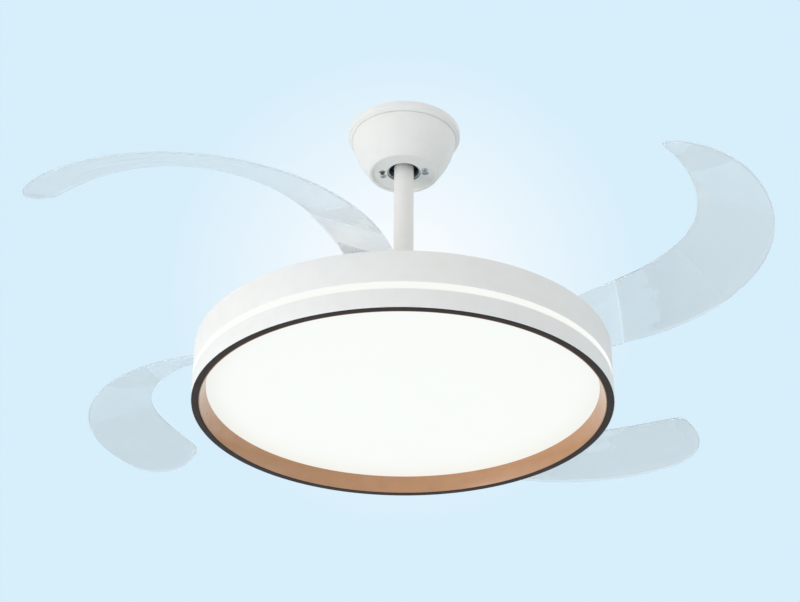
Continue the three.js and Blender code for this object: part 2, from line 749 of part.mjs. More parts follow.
// Outline points of one tooth about an angle, from root to root, counter-clockwise.
function tooth(teeth, middle) {
  const pitch = gearModule * teeth / 2;
  const root = pitch - 1.25 * gearModule;
  const tip = pitch + gearModule;
  const base = pitch * Math.cos(pressureAngle * deg);
  const start = Math.max(base, root);
  const radii = [start, start + (tip - start) * 0.5, tip];
  const rising = radii.map((r) => polar(r, middle - toothHalf(teeth, r)));
  const falling = [...radii].reverse().map((r) => polar(r, middle + toothHalf(teeth, r)));
  const foot = base > root ? toothHalf(teeth, base) : toothHalf(teeth, root);
  if (base > root) {
    rising.unshift(polar(root, middle - foot));
    falling.push(polar(root, middle + foot));
  }
  return [...rising, ...falling];
}

// The pinion under a blade: the sun gear lies at 180 degrees, and the teeth run on past it.
const firstPinionTooth = -1;
const lastPinionTooth = 5;
const pinionStep = 360 / pinionTeeth;
const sectorFrom = 180 + (firstPinionTooth - 0.5) * pinionStep;
const sectorTo = 180 + (lastPinionTooth + 0.5) * pinionStep;

function pinion() {
  const root = pinionPitch - 1.25 * gearModule;
  const points = [polar(root, sectorFrom)];
  for (let k = firstPinionTooth; k <= lastPinionTooth; k += 1) {
    points.push(...tooth(pinionTeeth, 180 + k * pinionStep));
  }
  points.push(polar(root, sectorTo));
  points.push(...arc(pinionHub, sectorTo, sectorFrom + 360, 6));
  return raised(points, gearLow, gearTop, [bore(pinRadius + seatGap, boreFacets)]);
}

// The sun gear: toothed where a pinion rolls on it and plain between.
const sunStep = 360 / sunTeeth;
const firstSunTooth = -6;
const lastSunTooth = 0;

function sunGear() {
  const root = sunPitch - 1.25 * gearModule;
  const points = [];
  for (let k = 0; k < bladeCount; k += 1) {
    const middle = k * pivotPitch;
    for (let t = firstSunTooth; t <= lastSunTooth; t += 1) {
      points.push(...tooth(sunTeeth, middle + (t + 0.5) * sunStep));
    }
    points.push(...arc(root, middle + (lastSunTooth + 1) * sunStep,
      middle + pivotPitch + firstSunTooth * sunStep, 5));
  }
  const turn = foldAngle * pinionPitch / sunPitch;
  const slack = (springPostRadius + 1) / springPostCircle / deg;
  const slots = springAngles.map((angle) => kidney(springPostCircle - springPostRadius - 0.6,
    springPostCircle + springPostRadius + 0.6, angle - turn - slack, angle + slack, 3));
  const plate = raised(points, gearLow, gearTop, [bore(sunBore, plateFacets), ...slots]);
  const pegs = springAngles.map((angle) => disc(springPostRadius, gearTop - 1, springPostTop, boreFacets - 2)
    .translate(...polar(springPostCircle, angle - springSpread), 0));
  return carve(plate, pegs);
}

// ---------------------------------------------------------------- rotor

const springAngles = [20, 200];     // of the posts that stand on the carrier

function carrier() {
  const plate = disc(carrierDiscRadius, carrierLow, carrierTop, plateFacets);
  const add = [];
  const cut = [disc(carrierBore, carrierLow - 1, carrierTop + 1, smallFacets)];
  const atPivot = (g, k) => g.translate(pivotRadius, 0, 0).rotateZ(k * pivotPitch * deg);
  const stopAngle = Math.asin((stopRadius + seatGap) / stopReach) / deg;
  for (let k = 0; k < bladeCount; k += 1) {
    add.push(atPivot(disc(earRadius, carrierLow, carrierTop, 16), k));
    for (const angle of [sectorTo + stopAngle, sectorFrom - foldAngle - stopAngle]) {
      const [x, y] = polar(stopReach, angle);
      add.push(atPivot(disc(stopRadius, carrierTop - 1, gearTop, 6).translate(x, y, 0), k));
    }
    cut.push(atPivot(disc(pinRadius + seatGap, carrierLow - 1, carrierTop + 1, boreFacets), k));
    const middle = (k + 0.5) * pivotPitch;
    cut.push(raised(kidney(windowInner, windowOuter, middle - windowSpan / 2,
      middle + windowSpan / 2, 4), carrierLow - 1, carrierTop + 1));
  }
  for (const angle of springAngles) {
    add.push(disc(springPostRadius, carrierTop - 1, springPostTop, boreFacets - 2)
      .translate(...polar(springPostCircle, angle), 0));
  }
  return carve(plate, add, cut);
}

// A tension spring from a post on the carrier to a peg on the sun gear, hooked on both.
// The peg comes nearer as the blades fold, so the pair of springs draws them in.
function returnSpring(angle) {
  const post = new THREE.Vector3(...polar(springPostCircle, angle), springHeight);
  const peg = new THREE.Vector3(...polar(springPostCircle, angle - springSpread), springHeight);
  const along = peg.clone().sub(post);
  const length = along.length();
  along.normalize();
  const side = new THREE.Vector3(-along.y, along.x, 0);
  const up = new THREE.Vector3(0, 0, 1);
  const hook = springPostRadius + 0.3 + springWire / 2;
  const at = (x, y, z) => post.clone().addScaledVector(along, x).addScaledVector(side, y)
    .addScaledVector(up, z);
  const points = [];
  for (let a = 100; a <= 340; a += 40) {
    points.push(at(hook * Math.cos(a * deg), hook * Math.sin(a * deg), 0));
  }
  const lead = hook + 4;
  const steps = springTurns * springSteps;
  for (let i = 0; i <= steps; i += 1) {
    const t = i / steps;
    const turn = 2 * Math.PI * springTurns * t;
    points.push(at(lead + (length - 2 * lead) * t, -springRadius * Math.cos(turn),
      springRadius * Math.sin(turn)));
  }
  for (let a = 200; a <= 440; a += 40) {
    points.push(at(length + hook * Math.cos(a * deg), hook * Math.sin(a * deg), 0));
  }
  return wire(points, springWire / 2, 4);
}

function motorLowerHousing() {
  const inner = motorRadius - motorWall;
  const seat = bearingOuter + seatGap;
  const boss = seat + bearingBossWall;
  const floor = lowerBearingLow - seatGap;
  return turned([
    [shaftHole, motorLow], [motorRadius, motorLow], [motorRadius, motorSplit],
    [inner, motorSplit], [inner, floor], [boss, floor], [boss, lowerBearingLow + bearingHeight],
    [seat, lowerBearingLow + bearingHeight], [seat, floor], [shaftHole, floor],
  ], motorFacets);
}

function motorUpperHousing() {
  const inner = motorRadius - motorWall;
  const seat = bearingOuter + seatGap;
  const boss = seat + bearingBossWall;
  const split = motorSplit + seatGap;
  const bearingTop = upperBearingLow + bearingHeight + seatGap;
  return turned([
    [inner, split], [motorRadius, split], [motorRadius, motorShoulder],
    [motorRadius - shoulderChamferWidth, motorShoulder + shoulderChamferHeight],
    [boss, motorCrown], [boss, bearingTop + bearingCap],
    [shaftHole, bearingTop + bearingCap], [shaftHole, bearingTop], [seat, bearingTop],
    [seat, upperBearingLow - bearingLip], [boss, upperBearingLow - bearingLip],
    [boss, motorCrown - domeSheet],
    [inner, motorShoulder - 0.5],
  ], motorFacets);
}

// A shielded ball bearing: the groove between its rings shows on its upper face.
function bearing(low) {
  const inner = shaftRadius + seatGap;
  const third = (bearingOuter - inner) / 3;
  const top = low + bearingHeight;
  const groove = top - bearingGroove;
  return turned([
    [inner, low], [bearingOuter, low], [bearingOuter, top], [bearingOuter - third, top],
    [bearingOuter - third, groove], [inner + third, groove], [inner + third, top], [inner, top],
  ], smallFacets);
}

piece('motor_lower_housing', motorLowerHousing(), aluminium, rotor);
piece('motor_upper_housing', motorUpperHousing(), aluminium, rotor);
piece('magnet_ring', ring(motorRadius - motorWall - seatGap - magnetDepth,
  motorRadius - motorWall - seatGap, magnetLow, magnetLow + magnetHeight, motorFacets),
darkSteel, rotor);
piece('lower_bearing', bearing(lowerBearingLow), steel, rotor);
piece('upper_bearing', bearing(upperBearingLow), steel, rotor);
piece('blade_carrier', carrier(), aluminium, rotor);
piece('sync_gear_keeper', turned([
  [motorRadius + 1, motorLow], [sunBore - runGap, motorLow], [sunBore - runGap, gearTop + runGap],
  [sunBore + keeperWidth, gearTop + runGap], [sunBore + keeperWidth, keeperTopHeight],
  [motorRadius + 1, keeperTopHeight],
], plateFacets), nylon, rotor);
piece('sync_gear', sunGear(), nylon, rotor);
springAngles.forEach((angle, i) =>
  piece(`return_spring_${i + 1}`, returnSpring(angle), steel, rotor));

// ---------------------------------------------------------------- blades

// Width of the blade at a place along its arc, smooth between the listed widths.
function bladeWidth(s) {
  const curve = bladeWidths;
  const last = curve.length - 1;
  let k = 0;
  while (k < last - 1 && s > curve[k + 1][0]) k += 1;
  const slope = (i) => (i <= 0 || i >= last ? 0
    : (curve[i + 1][1] - curve[i - 1][1]) / (curve[i + 1][0] - curve[i - 1][0]));
  const [[s0, w0], [s1, w1]] = [curve[k], curve[k + 1]];
  const span = s1 - s0;
  const t = THREE.MathUtils.clamp((s - s0) / span, 0, 1);
  const m0 = (k === 0 ? (w1 - w0) / span : slope(k)) * span;
  const m1 = (k + 1 === last ? (w1 - w0) / span : slope(k + 1)) * span;
  return (2 * t ** 3 - 3 * t ** 2 + 1) * w0 + (t ** 3 - 2 * t ** 2 + t) * m0
    + (-2 * t ** 3 + 3 * t ** 2) * w1 + (t ** 3 - t ** 2) * m1;
}

// Distance inwards from the outer arc to the blade's two edges, with a round tip.
function bladeEdges(s) {
  const width = bladeWidth(s);
  const t = THREE.MathUtils.clamp((s - tipStart) / (bladeTip - tipStart), 0, 1);
  const round = (1 - t ** tipFullness) ** (1 / tipFullness);
  return [width * tipPoint * (1 - round), width * (tipPoint + (1 - tipPoint) * round)];
}

// Height of the middle surface, at a place along the arc and a distance inwards.
const bladeHeight = (s, inwards) => outerEdgeHeight + bladeRise * s / 100
  + (bladeSlope + slopeGain * s / 100) * inwards;

// A point beside the pivot, for a place along the arc and a distance inwards.
// The arc's centre lies foldAngle on from the direction of the hub when the blade is open.
const arcCentre = polar(pivotRadius, 180 + foldAngle);
function bladePlan(s, inwards) {
  const [x, y] = polar(bladeArcRadius - inwards, foldAngle - (s - pivotAlong));
  return [arcCentre[0] + x, arcCentre[1] + y];
}

function blade() {
  const rows = 24;
  const columns = 3;
  const padSteps = [rootPadEnd, rootPadEnd + rootStep];
  // places along the arc: even steps, with one pair at the thickness step, closer at the tip
  const places = [];
  for (let i = 0; i <= rows; i += 1) {
    const t = i / rows;
    places.push(bladeStart + (bladeTip - bladeStart) * (1 - (1 - t) ** 1.25));
  }
  for (const s of padSteps) {
    let nearest = 1;
    places.forEach((p, i) => {
      const free = i > 0 && i < rows && !padSteps.includes(p);
      if (free && Math.abs(p - s) < Math.abs(places[nearest] - s)) nearest = i;
    });
    places[nearest] = s;
  }
  places.sort((a, b) => a - b);
  places[rows] = bladeTip - 0.02;
  return sheet(rows, columns, (u, v, side) => {
    const s = places[Math.round(u * rows)];
    const [outer, inner] = bladeEdges(s);
    const inwards = outer + (inner - outer) * v;
    const [x, y] = bladePlan(s, inwards);
    const middle = bladeHeight(s, inwards);
    const under = s <= rootPadEnd ? rootThickness - bladeThickness / 2 : bladeThickness / 2;
    return [x, y, side ? middle + bladeThickness / 2 : middle - under];
  });
}

// The moulded arm: a plate under the blade's root, a hub on the pivot and ribs between.
function bladeArm() {
  const under = rootThickness - bladeThickness / 2 + seatGap;
  const low = gearTop + seatGap;
  const grid = (bottom) => sheet(3, 2, (u, v, side) => {
    const s = armStart + (armEnd - armStart) * u;
    const [outer, inner] = bladeEdges(s);
    const inwards = outer + armEdge + (inner - outer - 2 * armEdge) * v;
    const top = bladeHeight(s, inwards) - under;
    return [...bladePlan(s, inwards), side ? top : bottom(top)];
  });
  const plate = grid((top) => Math.max(top - armSheet, low));
  const wedge = toSolid(grid(() => low));
  const above = bladeHeight(armEnd, bladeWidth(armEnd)) + rootThickness;
  const hub = disc(armHubRadius, low, above, smallFacets);
  const ribs = [-0.5, 0.5].map((k) => {
    const turn = foldAngle - 90 + k * ribSpread;
    return box(120, ribThickness, 120, 0, 0, low).rotateZ(turn * deg);
  });
  const skeleton = [hub, ...ribs].map((g) => toSolid(g).intersect(wedge));
  let arm = toSolid(plate);
  for (const part of skeleton) arm = arm.add(part);
  arm = arm.subtract(toSolid(disc(pinRadius + runGap, low - 1, nutLow, boreFacets)));
  arm = arm.subtract(toSolid(disc(nutRadius + 0.6, nutLow - 0.4, above, boreFacets)));
  return fromSolid(arm);
}

function pivotPin() {
  const headTop = carrierLow - seatGap;
  return turned([
    [0, headTop - pinHeadHeight], [pinHeadRadius, headTop - pinHeadHeight],
    [pinHeadRadius, headTop], [pinRadius, headTop], [pinRadius, pinTop], [0, pinTop],
  ], boreFacets);
}

const pivotNut = () => raised(circle(nutRadius, 6), nutLow, pinTop,
  [bore(pinRadius + seatGap, boreFacets)]);

for (let k = 0; k < bladeCount; k += 1) {
  const number = k + 1;
  const station = new THREE.Group();
  const spoke = new THREE.Group();
  spoke.rotation.z = -k * pivotPitch * deg;
  station.position.x = pivotRadius;
  spoke.add(station);
  rotor.add(spoke);
  const swing = new THREE.Group();
  swing.rotation.z = restLags[k] * deg;
  station.add(swing);
  piece(`blade_${number}`, blade(), clear, swing);
  piece(`blade_arm_${number}`, bladeArm(), plasticGrey, swing);
  piece(`blade_pinion_${number}`, pinion(), nylon, station);
  piece(`pivot_pin_${number}`, pivotPin(), steel, station);
  piece(`pivot_nut_${number}`, pivotNut(), steel, station);
}

export default fan;
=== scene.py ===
# %% [markdown]
# # A ring-light ceiling fan with four clear folding blades
#
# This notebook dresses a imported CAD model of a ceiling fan. The model gives every piece its
# place; the cells below give the visible pieces their fine surfaces and finishes. The fan hangs
# from a canopy on a short rod. Below the rod sits a flat round lamp, and four clear curved
# blades swing out over its rim when the motor turns, and fold back over it when the motor stops.

# %% Load the frame and keep its box
import math

import bmesh
import bpy
import numpy as np
from mathutils import Matrix, Vector


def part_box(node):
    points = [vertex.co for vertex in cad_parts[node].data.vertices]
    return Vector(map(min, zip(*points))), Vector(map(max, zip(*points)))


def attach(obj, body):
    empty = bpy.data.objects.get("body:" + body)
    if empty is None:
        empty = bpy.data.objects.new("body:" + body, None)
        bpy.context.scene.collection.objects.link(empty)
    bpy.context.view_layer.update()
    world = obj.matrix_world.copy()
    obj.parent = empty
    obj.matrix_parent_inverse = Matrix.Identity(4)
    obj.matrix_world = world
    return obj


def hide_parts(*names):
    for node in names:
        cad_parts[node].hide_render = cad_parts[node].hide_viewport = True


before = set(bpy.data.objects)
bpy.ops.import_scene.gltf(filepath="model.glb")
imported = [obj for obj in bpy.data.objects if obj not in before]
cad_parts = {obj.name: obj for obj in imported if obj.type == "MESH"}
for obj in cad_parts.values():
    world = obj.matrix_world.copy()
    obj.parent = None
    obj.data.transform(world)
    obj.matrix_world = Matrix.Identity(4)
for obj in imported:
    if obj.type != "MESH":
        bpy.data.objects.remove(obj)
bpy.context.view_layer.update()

# %% [markdown]
# The CAD model measures in millimetres above the lamp's lower rim. One small function turns such
# a height into metres in the frame, so the sizes below read like the ones on a drawing.

# %% Units and heights
MM = 0.001
lamp_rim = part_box("rim_ring")[0][2]


def rise(h):
    """The frame's height in metres of a place h mm above the lamp's lower rim."""
    return lamp_rim + h * MM


print("the lamp hangs", round(-lamp_rim / MM, 3), "mm below the ceiling")

# %% [markdown]
# Most pieces of a fan are turned: a canopy is spun from sheet on a lathe, a drum is rolled, a rod
# is drawn. So the first helper sweeps a closed profile of radius and height round the vertical
# axis. The corners of a real pressed or painted edge are never sharp, so each corner of the
# profile is first replaced by a small curve that catches the light.

# %% Grids, soft corners and turned pieces


def grid_mesh(name, points, loop_rows=False, loop_columns=False, caps=False):
    """A mesh of quads over a grid of points shaped (rows, columns, 3).

    Each quad joins a point to its neighbours in the next row and column. A loop joins the last
    row or column to the first, and caps close the first and last row with one face each.
    """
    rows, columns = points.shape[:2]
    index = np.arange(rows * columns).reshape(rows, columns)
    if loop_rows:
        index = np.vstack([index, index[:1]])
    if loop_columns:
        index = np.hstack([index, index[:, :1]])
    corners = [index[:-1, :-1], index[1:, :-1], index[1:, 1:], index[:-1, 1:]]
    faces = np.stack(corners, axis=-1).reshape(-1, 4).tolist()
    if caps:
        faces += [index[0, :columns].tolist(), index[rows - 1, :columns].tolist()]
    mesh = bpy.data.meshes.new(name)
    mesh.from_pydata(points.reshape(-1, 3).tolist(), [], faces)
    return mesh


def smooth(mesh, sharp=32):
    """Shades a mesh smooth, but keeps edges that turn by more than `sharp` degrees crisp."""
    mesh.shade_smooth()
    mesh.set_sharp_from_angle(angle=math.radians(sharp))
    return mesh


def finish_mesh(mesh, sharp=32, merge=1e-7):
    """Merges doubled points, turns the faces outwards and shades the mesh."""
    work = bmesh.new()
    work.from_mesh(mesh)
    bmesh.ops.remove_doubles(work, verts=work.verts, dist=merge)
    bmesh.ops.dissolve_degenerate(work, edges=work.edges, dist=merge)
    bmesh.ops.recalc_face_normals(work, faces=work.faces)
    work.to_mesh(mesh)
    work.free()
    return smooth(mesh, sharp)


def soft_corners(profile, radius, steps=4):
    """A closed profile with each corner replaced by a curve.

    The curve leaves each side `radius` before the corner, or a little under half the side if that
    is less, and is the quadratic curve with the old corner as its middle control point.
    """
    p = np.asarray(profile, float)
    before, after = np.roll(p, 1, axis=0) - p, np.roll(p, -1, axis=0) - p
    size_before = np.linalg.norm(before, axis=1, keepdims=True)
    size_after = np.linalg.norm(after, axis=1, keepdims=True)
    reach_before = np.minimum(radius, 0.45 * size_before) / np.maximum(size_before, 1e-9)
    reach_after = np.minimum(radius, 0.45 * size_after) / np.maximum(size_after, 1e-9)
    start, end = p + before * reach_before, p + after * reach_after
    t = np.linspace(0, 1, steps + 1)[None, :, None]
    curve = (1 - t) ** 2 * start[:, None] + 2 * t * (1 - t) * p[:, None] + t ** 2 * end[:, None]
    on_axis = p[:, 0] == 0
    curve[on_axis] = p[on_axis][:, None]
    return curve.reshape(-1, 2)


def rectangle(inside, outside, low, top):
    return [(inside, low), (outside, low), (outside, top), (inside, top)]


def turned(name, profile, soft=0.5, around=192, centre=(0.0, 0.0)):
    """A profile of (radius, height above the rim) in mm, carried round a vertical axis."""
    p = soft_corners(profile, soft) if soft else np.asarray(profile, float)
    angle = np.linspace(0, 2 * np.pi, around, endpoint=False)
    radius = p[:, :1] * MM
    x = centre[0] * MM + radius * np.cos(angle)
    y = centre[1] * MM + radius * np.sin(angle)
    z = np.broadcast_to(lamp_rim + p[:, 1:] * MM, x.shape)
    return finish_mesh(grid_mesh(name, np.stack([x, y, z], axis=-1), True, True))


# %% [markdown]
# Plates, ears and gears are cut from sheet or moulded flat, so the second helper raises a flat
# outline with holes. Blender's own 2D curve fills the outline, gives it thickness and rounds its
# edges in one step, which keeps the flat faces truly flat.

# %% Raised outlines


def new_object(name, data):
    made = bpy.data.objects.new(name, data)
    bpy.context.collection.objects.link(made)
    return made


def polar(radius, degrees):
    """Points at a radius and an angle, as an array ending in x and y."""
    a = np.radians(degrees)
    return np.stack(np.broadcast_arrays(radius * np.cos(a), radius * np.sin(a)), axis=-1)


def ring_of_points(radius, count=64, centre=(0, 0)):
    return polar(radius, np.linspace(0, 360, count, endpoint=False)) + np.asarray(centre, float)


def kidney(inner, outer, start, end, count=24):
    """An outline along two arcs, from one angle to the other and back."""
    angle = np.linspace(start, end, count)
    return np.vstack([polar(outer, angle), polar(inner, angle[::-1])])


def raised(name, outlines, low, top, edge=0.35):
    """Flat outlines in mm, the first the outside and the rest holes, raised from low to top."""
    curve = bpy.data.curves.new(name, "CURVE")
    curve.dimensions = "2D"
    curve.fill_mode = "BOTH"
    curve.extrude = ((top - low) / 2 - edge) * MM
    curve.bevel_depth = edge * MM
    curve.bevel_resolution = 2
    curve.offset = -edge * MM
    for outline in outlines:
        spline = curve.splines.new("POLY")
        spline.points.add(len(outline) - 1)
        flat = np.zeros((len(outline), 4))
        flat[:, :2] = np.asarray(outline) * MM
        flat[:, 3] = 1
        spline.points.foreach_set("co", flat.ravel())
        spline.use_cyclic_u = True
    drawn = new_object(name, curve)
    graph = bpy.context.evaluated_depsgraph_get()
    mesh = bpy.data.meshes.new_from_object(drawn.evaluated_get(graph))
    bpy.data.objects.remove(drawn)
    bpy.data.curves.remove(curve)
    mesh.name = name
    mesh.transform(Matrix.Translation((0, 0, rise((low + top) / 2))))
    return finish_mesh(mesh, merge=2e-6)


# %% [markdown]
# Springs, wires and rolled beads are round bars along a path. The third helper carries a circle
# along a list of points, with its own frame turned step by step so that the bar doesn't twist.

# %% Bars along a path


def bar(name, path, radius, around=10):
    """A round bar in mm: at each point, a circle square to the path's direction."""
    path = np.asarray(path, float)
    along = np.gradient(path, axis=0)
    along /= np.linalg.norm(along, axis=1, keepdims=True)
    side = np.cross(along, [0.0, 0.0, 1.0])
    weak = np.linalg.norm(side, axis=1) < 1e-3
    side[weak] = np.cross(along[weak], [1.0, 0.0, 0.0])
    side /= np.linalg.norm(side, axis=1, keepdims=True)
    up = np.cross(side, along)
    t = np.linspace(0, 2 * np.pi, around, endpoint=False)
    ring = radius * (side[:, None] * np.cos(t)[:, None] + up[:, None] * np.sin(t)[:, None])
    points = (path[:, None] + ring) * MM
    points[..., 2] += lamp_rim
    return finish_mesh(grid_mesh(name, points, False, True, caps=True), sharp=50)


# %% [markdown]
# A piece is a mesh that rides on one of the fan's moving bodies, takes one finish, and may stand
# for a plain CAD piece. Turned parts of the body that spins are made straight, so a helper turns
# a mesh about the vertical axis, and one cuts holes with Blender's exact Boolean.

# %% Placing, turning and cutting


def turn_mesh(mesh, degrees):
    """Turns a mesh about the fan's vertical axis."""
    mesh.transform(Matrix.Rotation(math.radians(degrees), 4, "Z"))
    return mesh


def shift_mesh(mesh, x, y):
    mesh.transform(Matrix.Translation((x * MM, y * MM, 0)))
    return mesh


def join_meshes(name, meshes):
    """One mesh that holds several closed shells."""
    work = bmesh.new()
    for mesh in meshes:
        work.from_mesh(mesh)
    joined = bpy.data.meshes.new(name)
    work.to_mesh(joined)
    work.free()
    return smooth(joined)


def cut(mesh, cutters):
    """Cuts the cutters out of a mesh, one after the other."""
    for cutter in cutters:
        body, tool = new_object("cut_body", mesh), new_object("cut_tool", cutter)
        change = body.modifiers.new("cut", "BOOLEAN")
        change.operation = "DIFFERENCE"
        change.solver = "EXACT"
        change.object = tool
        graph = bpy.context.evaluated_depsgraph_get()
        result = bpy.data.meshes.new_from_object(body.evaluated_get(graph))
        result.name = mesh.name
        bpy.data.objects.remove(body)
        bpy.data.objects.remove(tool)
        mesh = result
    return smooth(mesh)


def put_on(finish, mesh):
    mesh.materials.clear()
    mesh.materials.append(finish)


def add_piece(name, mesh, body, finish, stands_for):
    """Puts a mesh into the scene as a piece of the fan, in place of a CAD piece."""
    piece = new_object(name, mesh)
    put_on(finish, mesh)
    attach(piece, body)
    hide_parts(stands_for)


def dress(finish, *nodes):
    """Gives CAD pieces whose shape is right their finish."""
    for cad_node in nodes:
        put_on(finish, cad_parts[cad_node].data)


# %% [markdown]
# ## Finishes
#
# A finish is a Principled shader fed by small node groups. The groups hold what several finishes
# share: the fine ripple of powder paint, the grain of moulded plastic, the lines that a lathe
# leaves, and the dust that settles on faces that look up. Each group gives a height or a mask, and
# each finish mixes them in its own strength.

# %% Node helpers


def new_group(name, inputs, outputs):
    """A shader node group of numbers: the inputs with their first values, and the outputs."""
    tree = bpy.data.node_groups.new(name, "ShaderNodeTree")
    for label, value in inputs.items():
        tree.interface.new_socket(name=label, in_out="INPUT",
                                  socket_type="NodeSocketFloat").default_value = value
    for label in outputs:
        tree.interface.new_socket(name=label, in_out="OUTPUT", socket_type="NodeSocketFloat")
    return tree, tree.nodes.new("NodeGroupInput"), tree.nodes.new("NodeGroupOutput")


def feed(tree, made, **sockets):
    """Gives each named or numbered (_0) socket a value or the socket that feeds it."""
    for key, value in sockets.items():
        label = key.replace("_", " ")
        socket = made.inputs[int(key[1:])] if key[1:].isdigit() else made.inputs[label]
        if isinstance(value, bpy.types.NodeSocket):
            tree.links.new(value, socket)
        else:
            socket.default_value = value


def node(tree, kind, settings=None, **sockets):
    """A new node with its settings and its fed sockets."""
    made = tree.nodes.new(kind)
    for key, value in (settings or {}).items():
        setattr(made, key, value)
    feed(tree, made, **sockets)
    return made


def value_range(tree, value, low, high, out_low=0.0, out_high=1.0):
    made = node(tree, "ShaderNodeMapRange", None, Value=value, From_Min=low, From_Max=high,
                To_Min=out_low, To_Max=out_high)
    return made.outputs["Result"]


def sum_of(tree, operation, first, *others):
    """The result of a Math node, such as ADD or MAXIMUM, on its numbers."""
    given = {f"_{place}": value for place, value in enumerate((first, *others))}
    return node(tree, "ShaderNodeMath", {"operation": operation}, **given).outputs[0]


def noise(tree, where, scale, detail, rough=0.5):
    return node(tree, "ShaderNodeTexNoise", None, Vector=where, Scale=scale, Detail=detail,
                Roughness=rough).outputs["Fac"]


def mix(tree, amount, first, second):
    """A colour between two colours."""
    return node(tree, "ShaderNodeMix", {"data_type": "RGBA"}, _0=amount, _6=first,
                _7=second).outputs[2]


def bumps(tree, height, strength, depth):
    """The normals of a surface raised by a height, up to a depth in mm."""
    return node(tree, "ShaderNodeBump", None, Strength=strength, Distance=depth * MM,
                Height=height).outputs["Normal"]


def object_place(tree):
    return node(tree, "ShaderNodeTexCoord").outputs["Object"]


def from_axis(tree):
    """Each place's distance from the fan's axis, and its height."""
    xyz = node(tree, "ShaderNodeSeparateXYZ", None, Vector=object_place(tree)).outputs
    flat = node(tree, "ShaderNodeCombineXYZ", None, X=xyz["X"], Y=xyz["Y"]).outputs["Vector"]
    away = node(tree, "ShaderNodeVectorMath", {"operation": "LENGTH"}, _0=flat)
    return away.outputs["Value"], xyz["Z"]


def new_material(name):
    made = bpy.data.materials.new(name)
    made.use_nodes = True
    return made, made.node_tree, made.node_tree.nodes["Principled BSDF"]


def colour(r, g, b):
    """A colour given in the 0 to 255 of a picture, as the linear light that shaders use."""
    c = np.array([r, g, b]) / 255
    linear = np.where(c <= 0.04045, c / 12.92, ((c + 0.055) / 1.055) ** 2.4)
    return (*linear.tolist(), 1.0)

# %% [markdown]
# Powder paint melts into a skin with a faint ripple, a few tenths of a millimetre long, over a
# slower unevenness. Two noises on the object's own coordinates make both.

# %% The ripple of paint and the grain of plastic
ripple, ripple_in, ripple_out = new_group(
    "surface_ripple", {"Fine Scale": 900.0, "Slow Scale": 60.0}, ["Height", "Mask"])
fine = noise(ripple, object_place(ripple), ripple_in.outputs["Fine Scale"], 3.0, 0.55)
slow = noise(ripple, object_place(ripple), ripple_in.outputs["Slow Scale"], 4.0, 0.6)
slow_share = 1.6
feed(ripple, ripple_out, Height=sum_of(ripple, "MULTIPLY_ADD", slow, slow_share, fine), Mask=slow)

# %% [markdown]
# Dust lies on what faces up. The mask is the upward part of the surface's direction, broken up by
# a cloudy noise, so walls and undersides stay clean.

# %% Dust on upward faces
dust, dust_in, dust_out = new_group("settled_dust", {"Amount": 0.2}, ["Mask"])
facing = node(dust, "ShaderNodeNewGeometry").outputs["Normal"]
upward = node(dust, "ShaderNodeSeparateXYZ", None, Vector=facing).outputs["Z"]
lying = value_range(dust, upward, 0.35, 1.0)
cloud = noise(dust, object_place(dust), 38.0, 6.0, 0.65)
patchy = value_range(dust, cloud, 0.35, 0.75, 0.25)
lying_patches = sum_of(dust, "MULTIPLY", lying, patchy)
feed(dust, dust_out, Mask=sum_of(dust, "MULTIPLY", lying_patches, dust_in.outputs["Amount"]))

# %% [markdown]
# A lathe leaves fine rings: lines that change along the radius and the height but not round the
# axis. So the noise reads the distance from the axis and the height, and nothing else.

# %% Lathe rings
rings, rings_in, rings_out = new_group("lathe_rings", {"Scale": 2500.0}, ["Height", "Mask"])
axis_distance, axis_height = from_axis(rings)
ring_place = node(rings, "ShaderNodeCombineXYZ", None, X=axis_distance, Y=axis_height)
ring_lines = noise(rings, ring_place.outputs["Vector"], rings_in.outputs["Scale"], 3.0, 0.7)
feed(rings, rings_out, Height=ring_lines, Mask=noise(rings, object_place(rings), 70.0, 4.0))
print("groups", [g.name for g in bpy.data.node_groups])

# %% [markdown]
# One function makes every opaque finish. It mixes the main colour with a second one by the slow
# mask, lets dust lighten what faces up, swings the roughness between two values, and bumps the
# surface by the group's height. What is the same all over is set on the shader itself.

# %% Opaque finishes


dust_colour = colour(206, 203, 196)
cloudy = (0.3, 0.7)


def opaque(name, base, second, rough, metallic=0.0, bump=0.08, depth=0.05, dusty=0.12,
           group=ripple, scales=None, coat=0.0, specular=0.5):
    """An opaque finish. rough is (least, most), depth is in mm and scales feed the group."""
    made, tree, shader = new_material(name)
    texture = node(tree, "ShaderNodeGroup", {"node_tree": group}, **(scales or {})).outputs
    settled = node(tree, "ShaderNodeGroup", {"node_tree": dust}, Amount=dusty).outputs["Mask"]
    mixed = mix(tree, value_range(tree, texture["Mask"], *cloudy), colour(*base), colour(*second))
    feed(tree, shader, Base_Color=mix(tree, settled, mixed, dust_colour),
         Roughness=value_range(tree, texture["Mask"], *cloudy, *rough),
         Normal=bumps(tree, texture["Height"], bump, depth), Metallic=metallic,
         Specular_IOR_Level=specular, Coat_Weight=coat, Coat_Roughness=0.12)
    return made


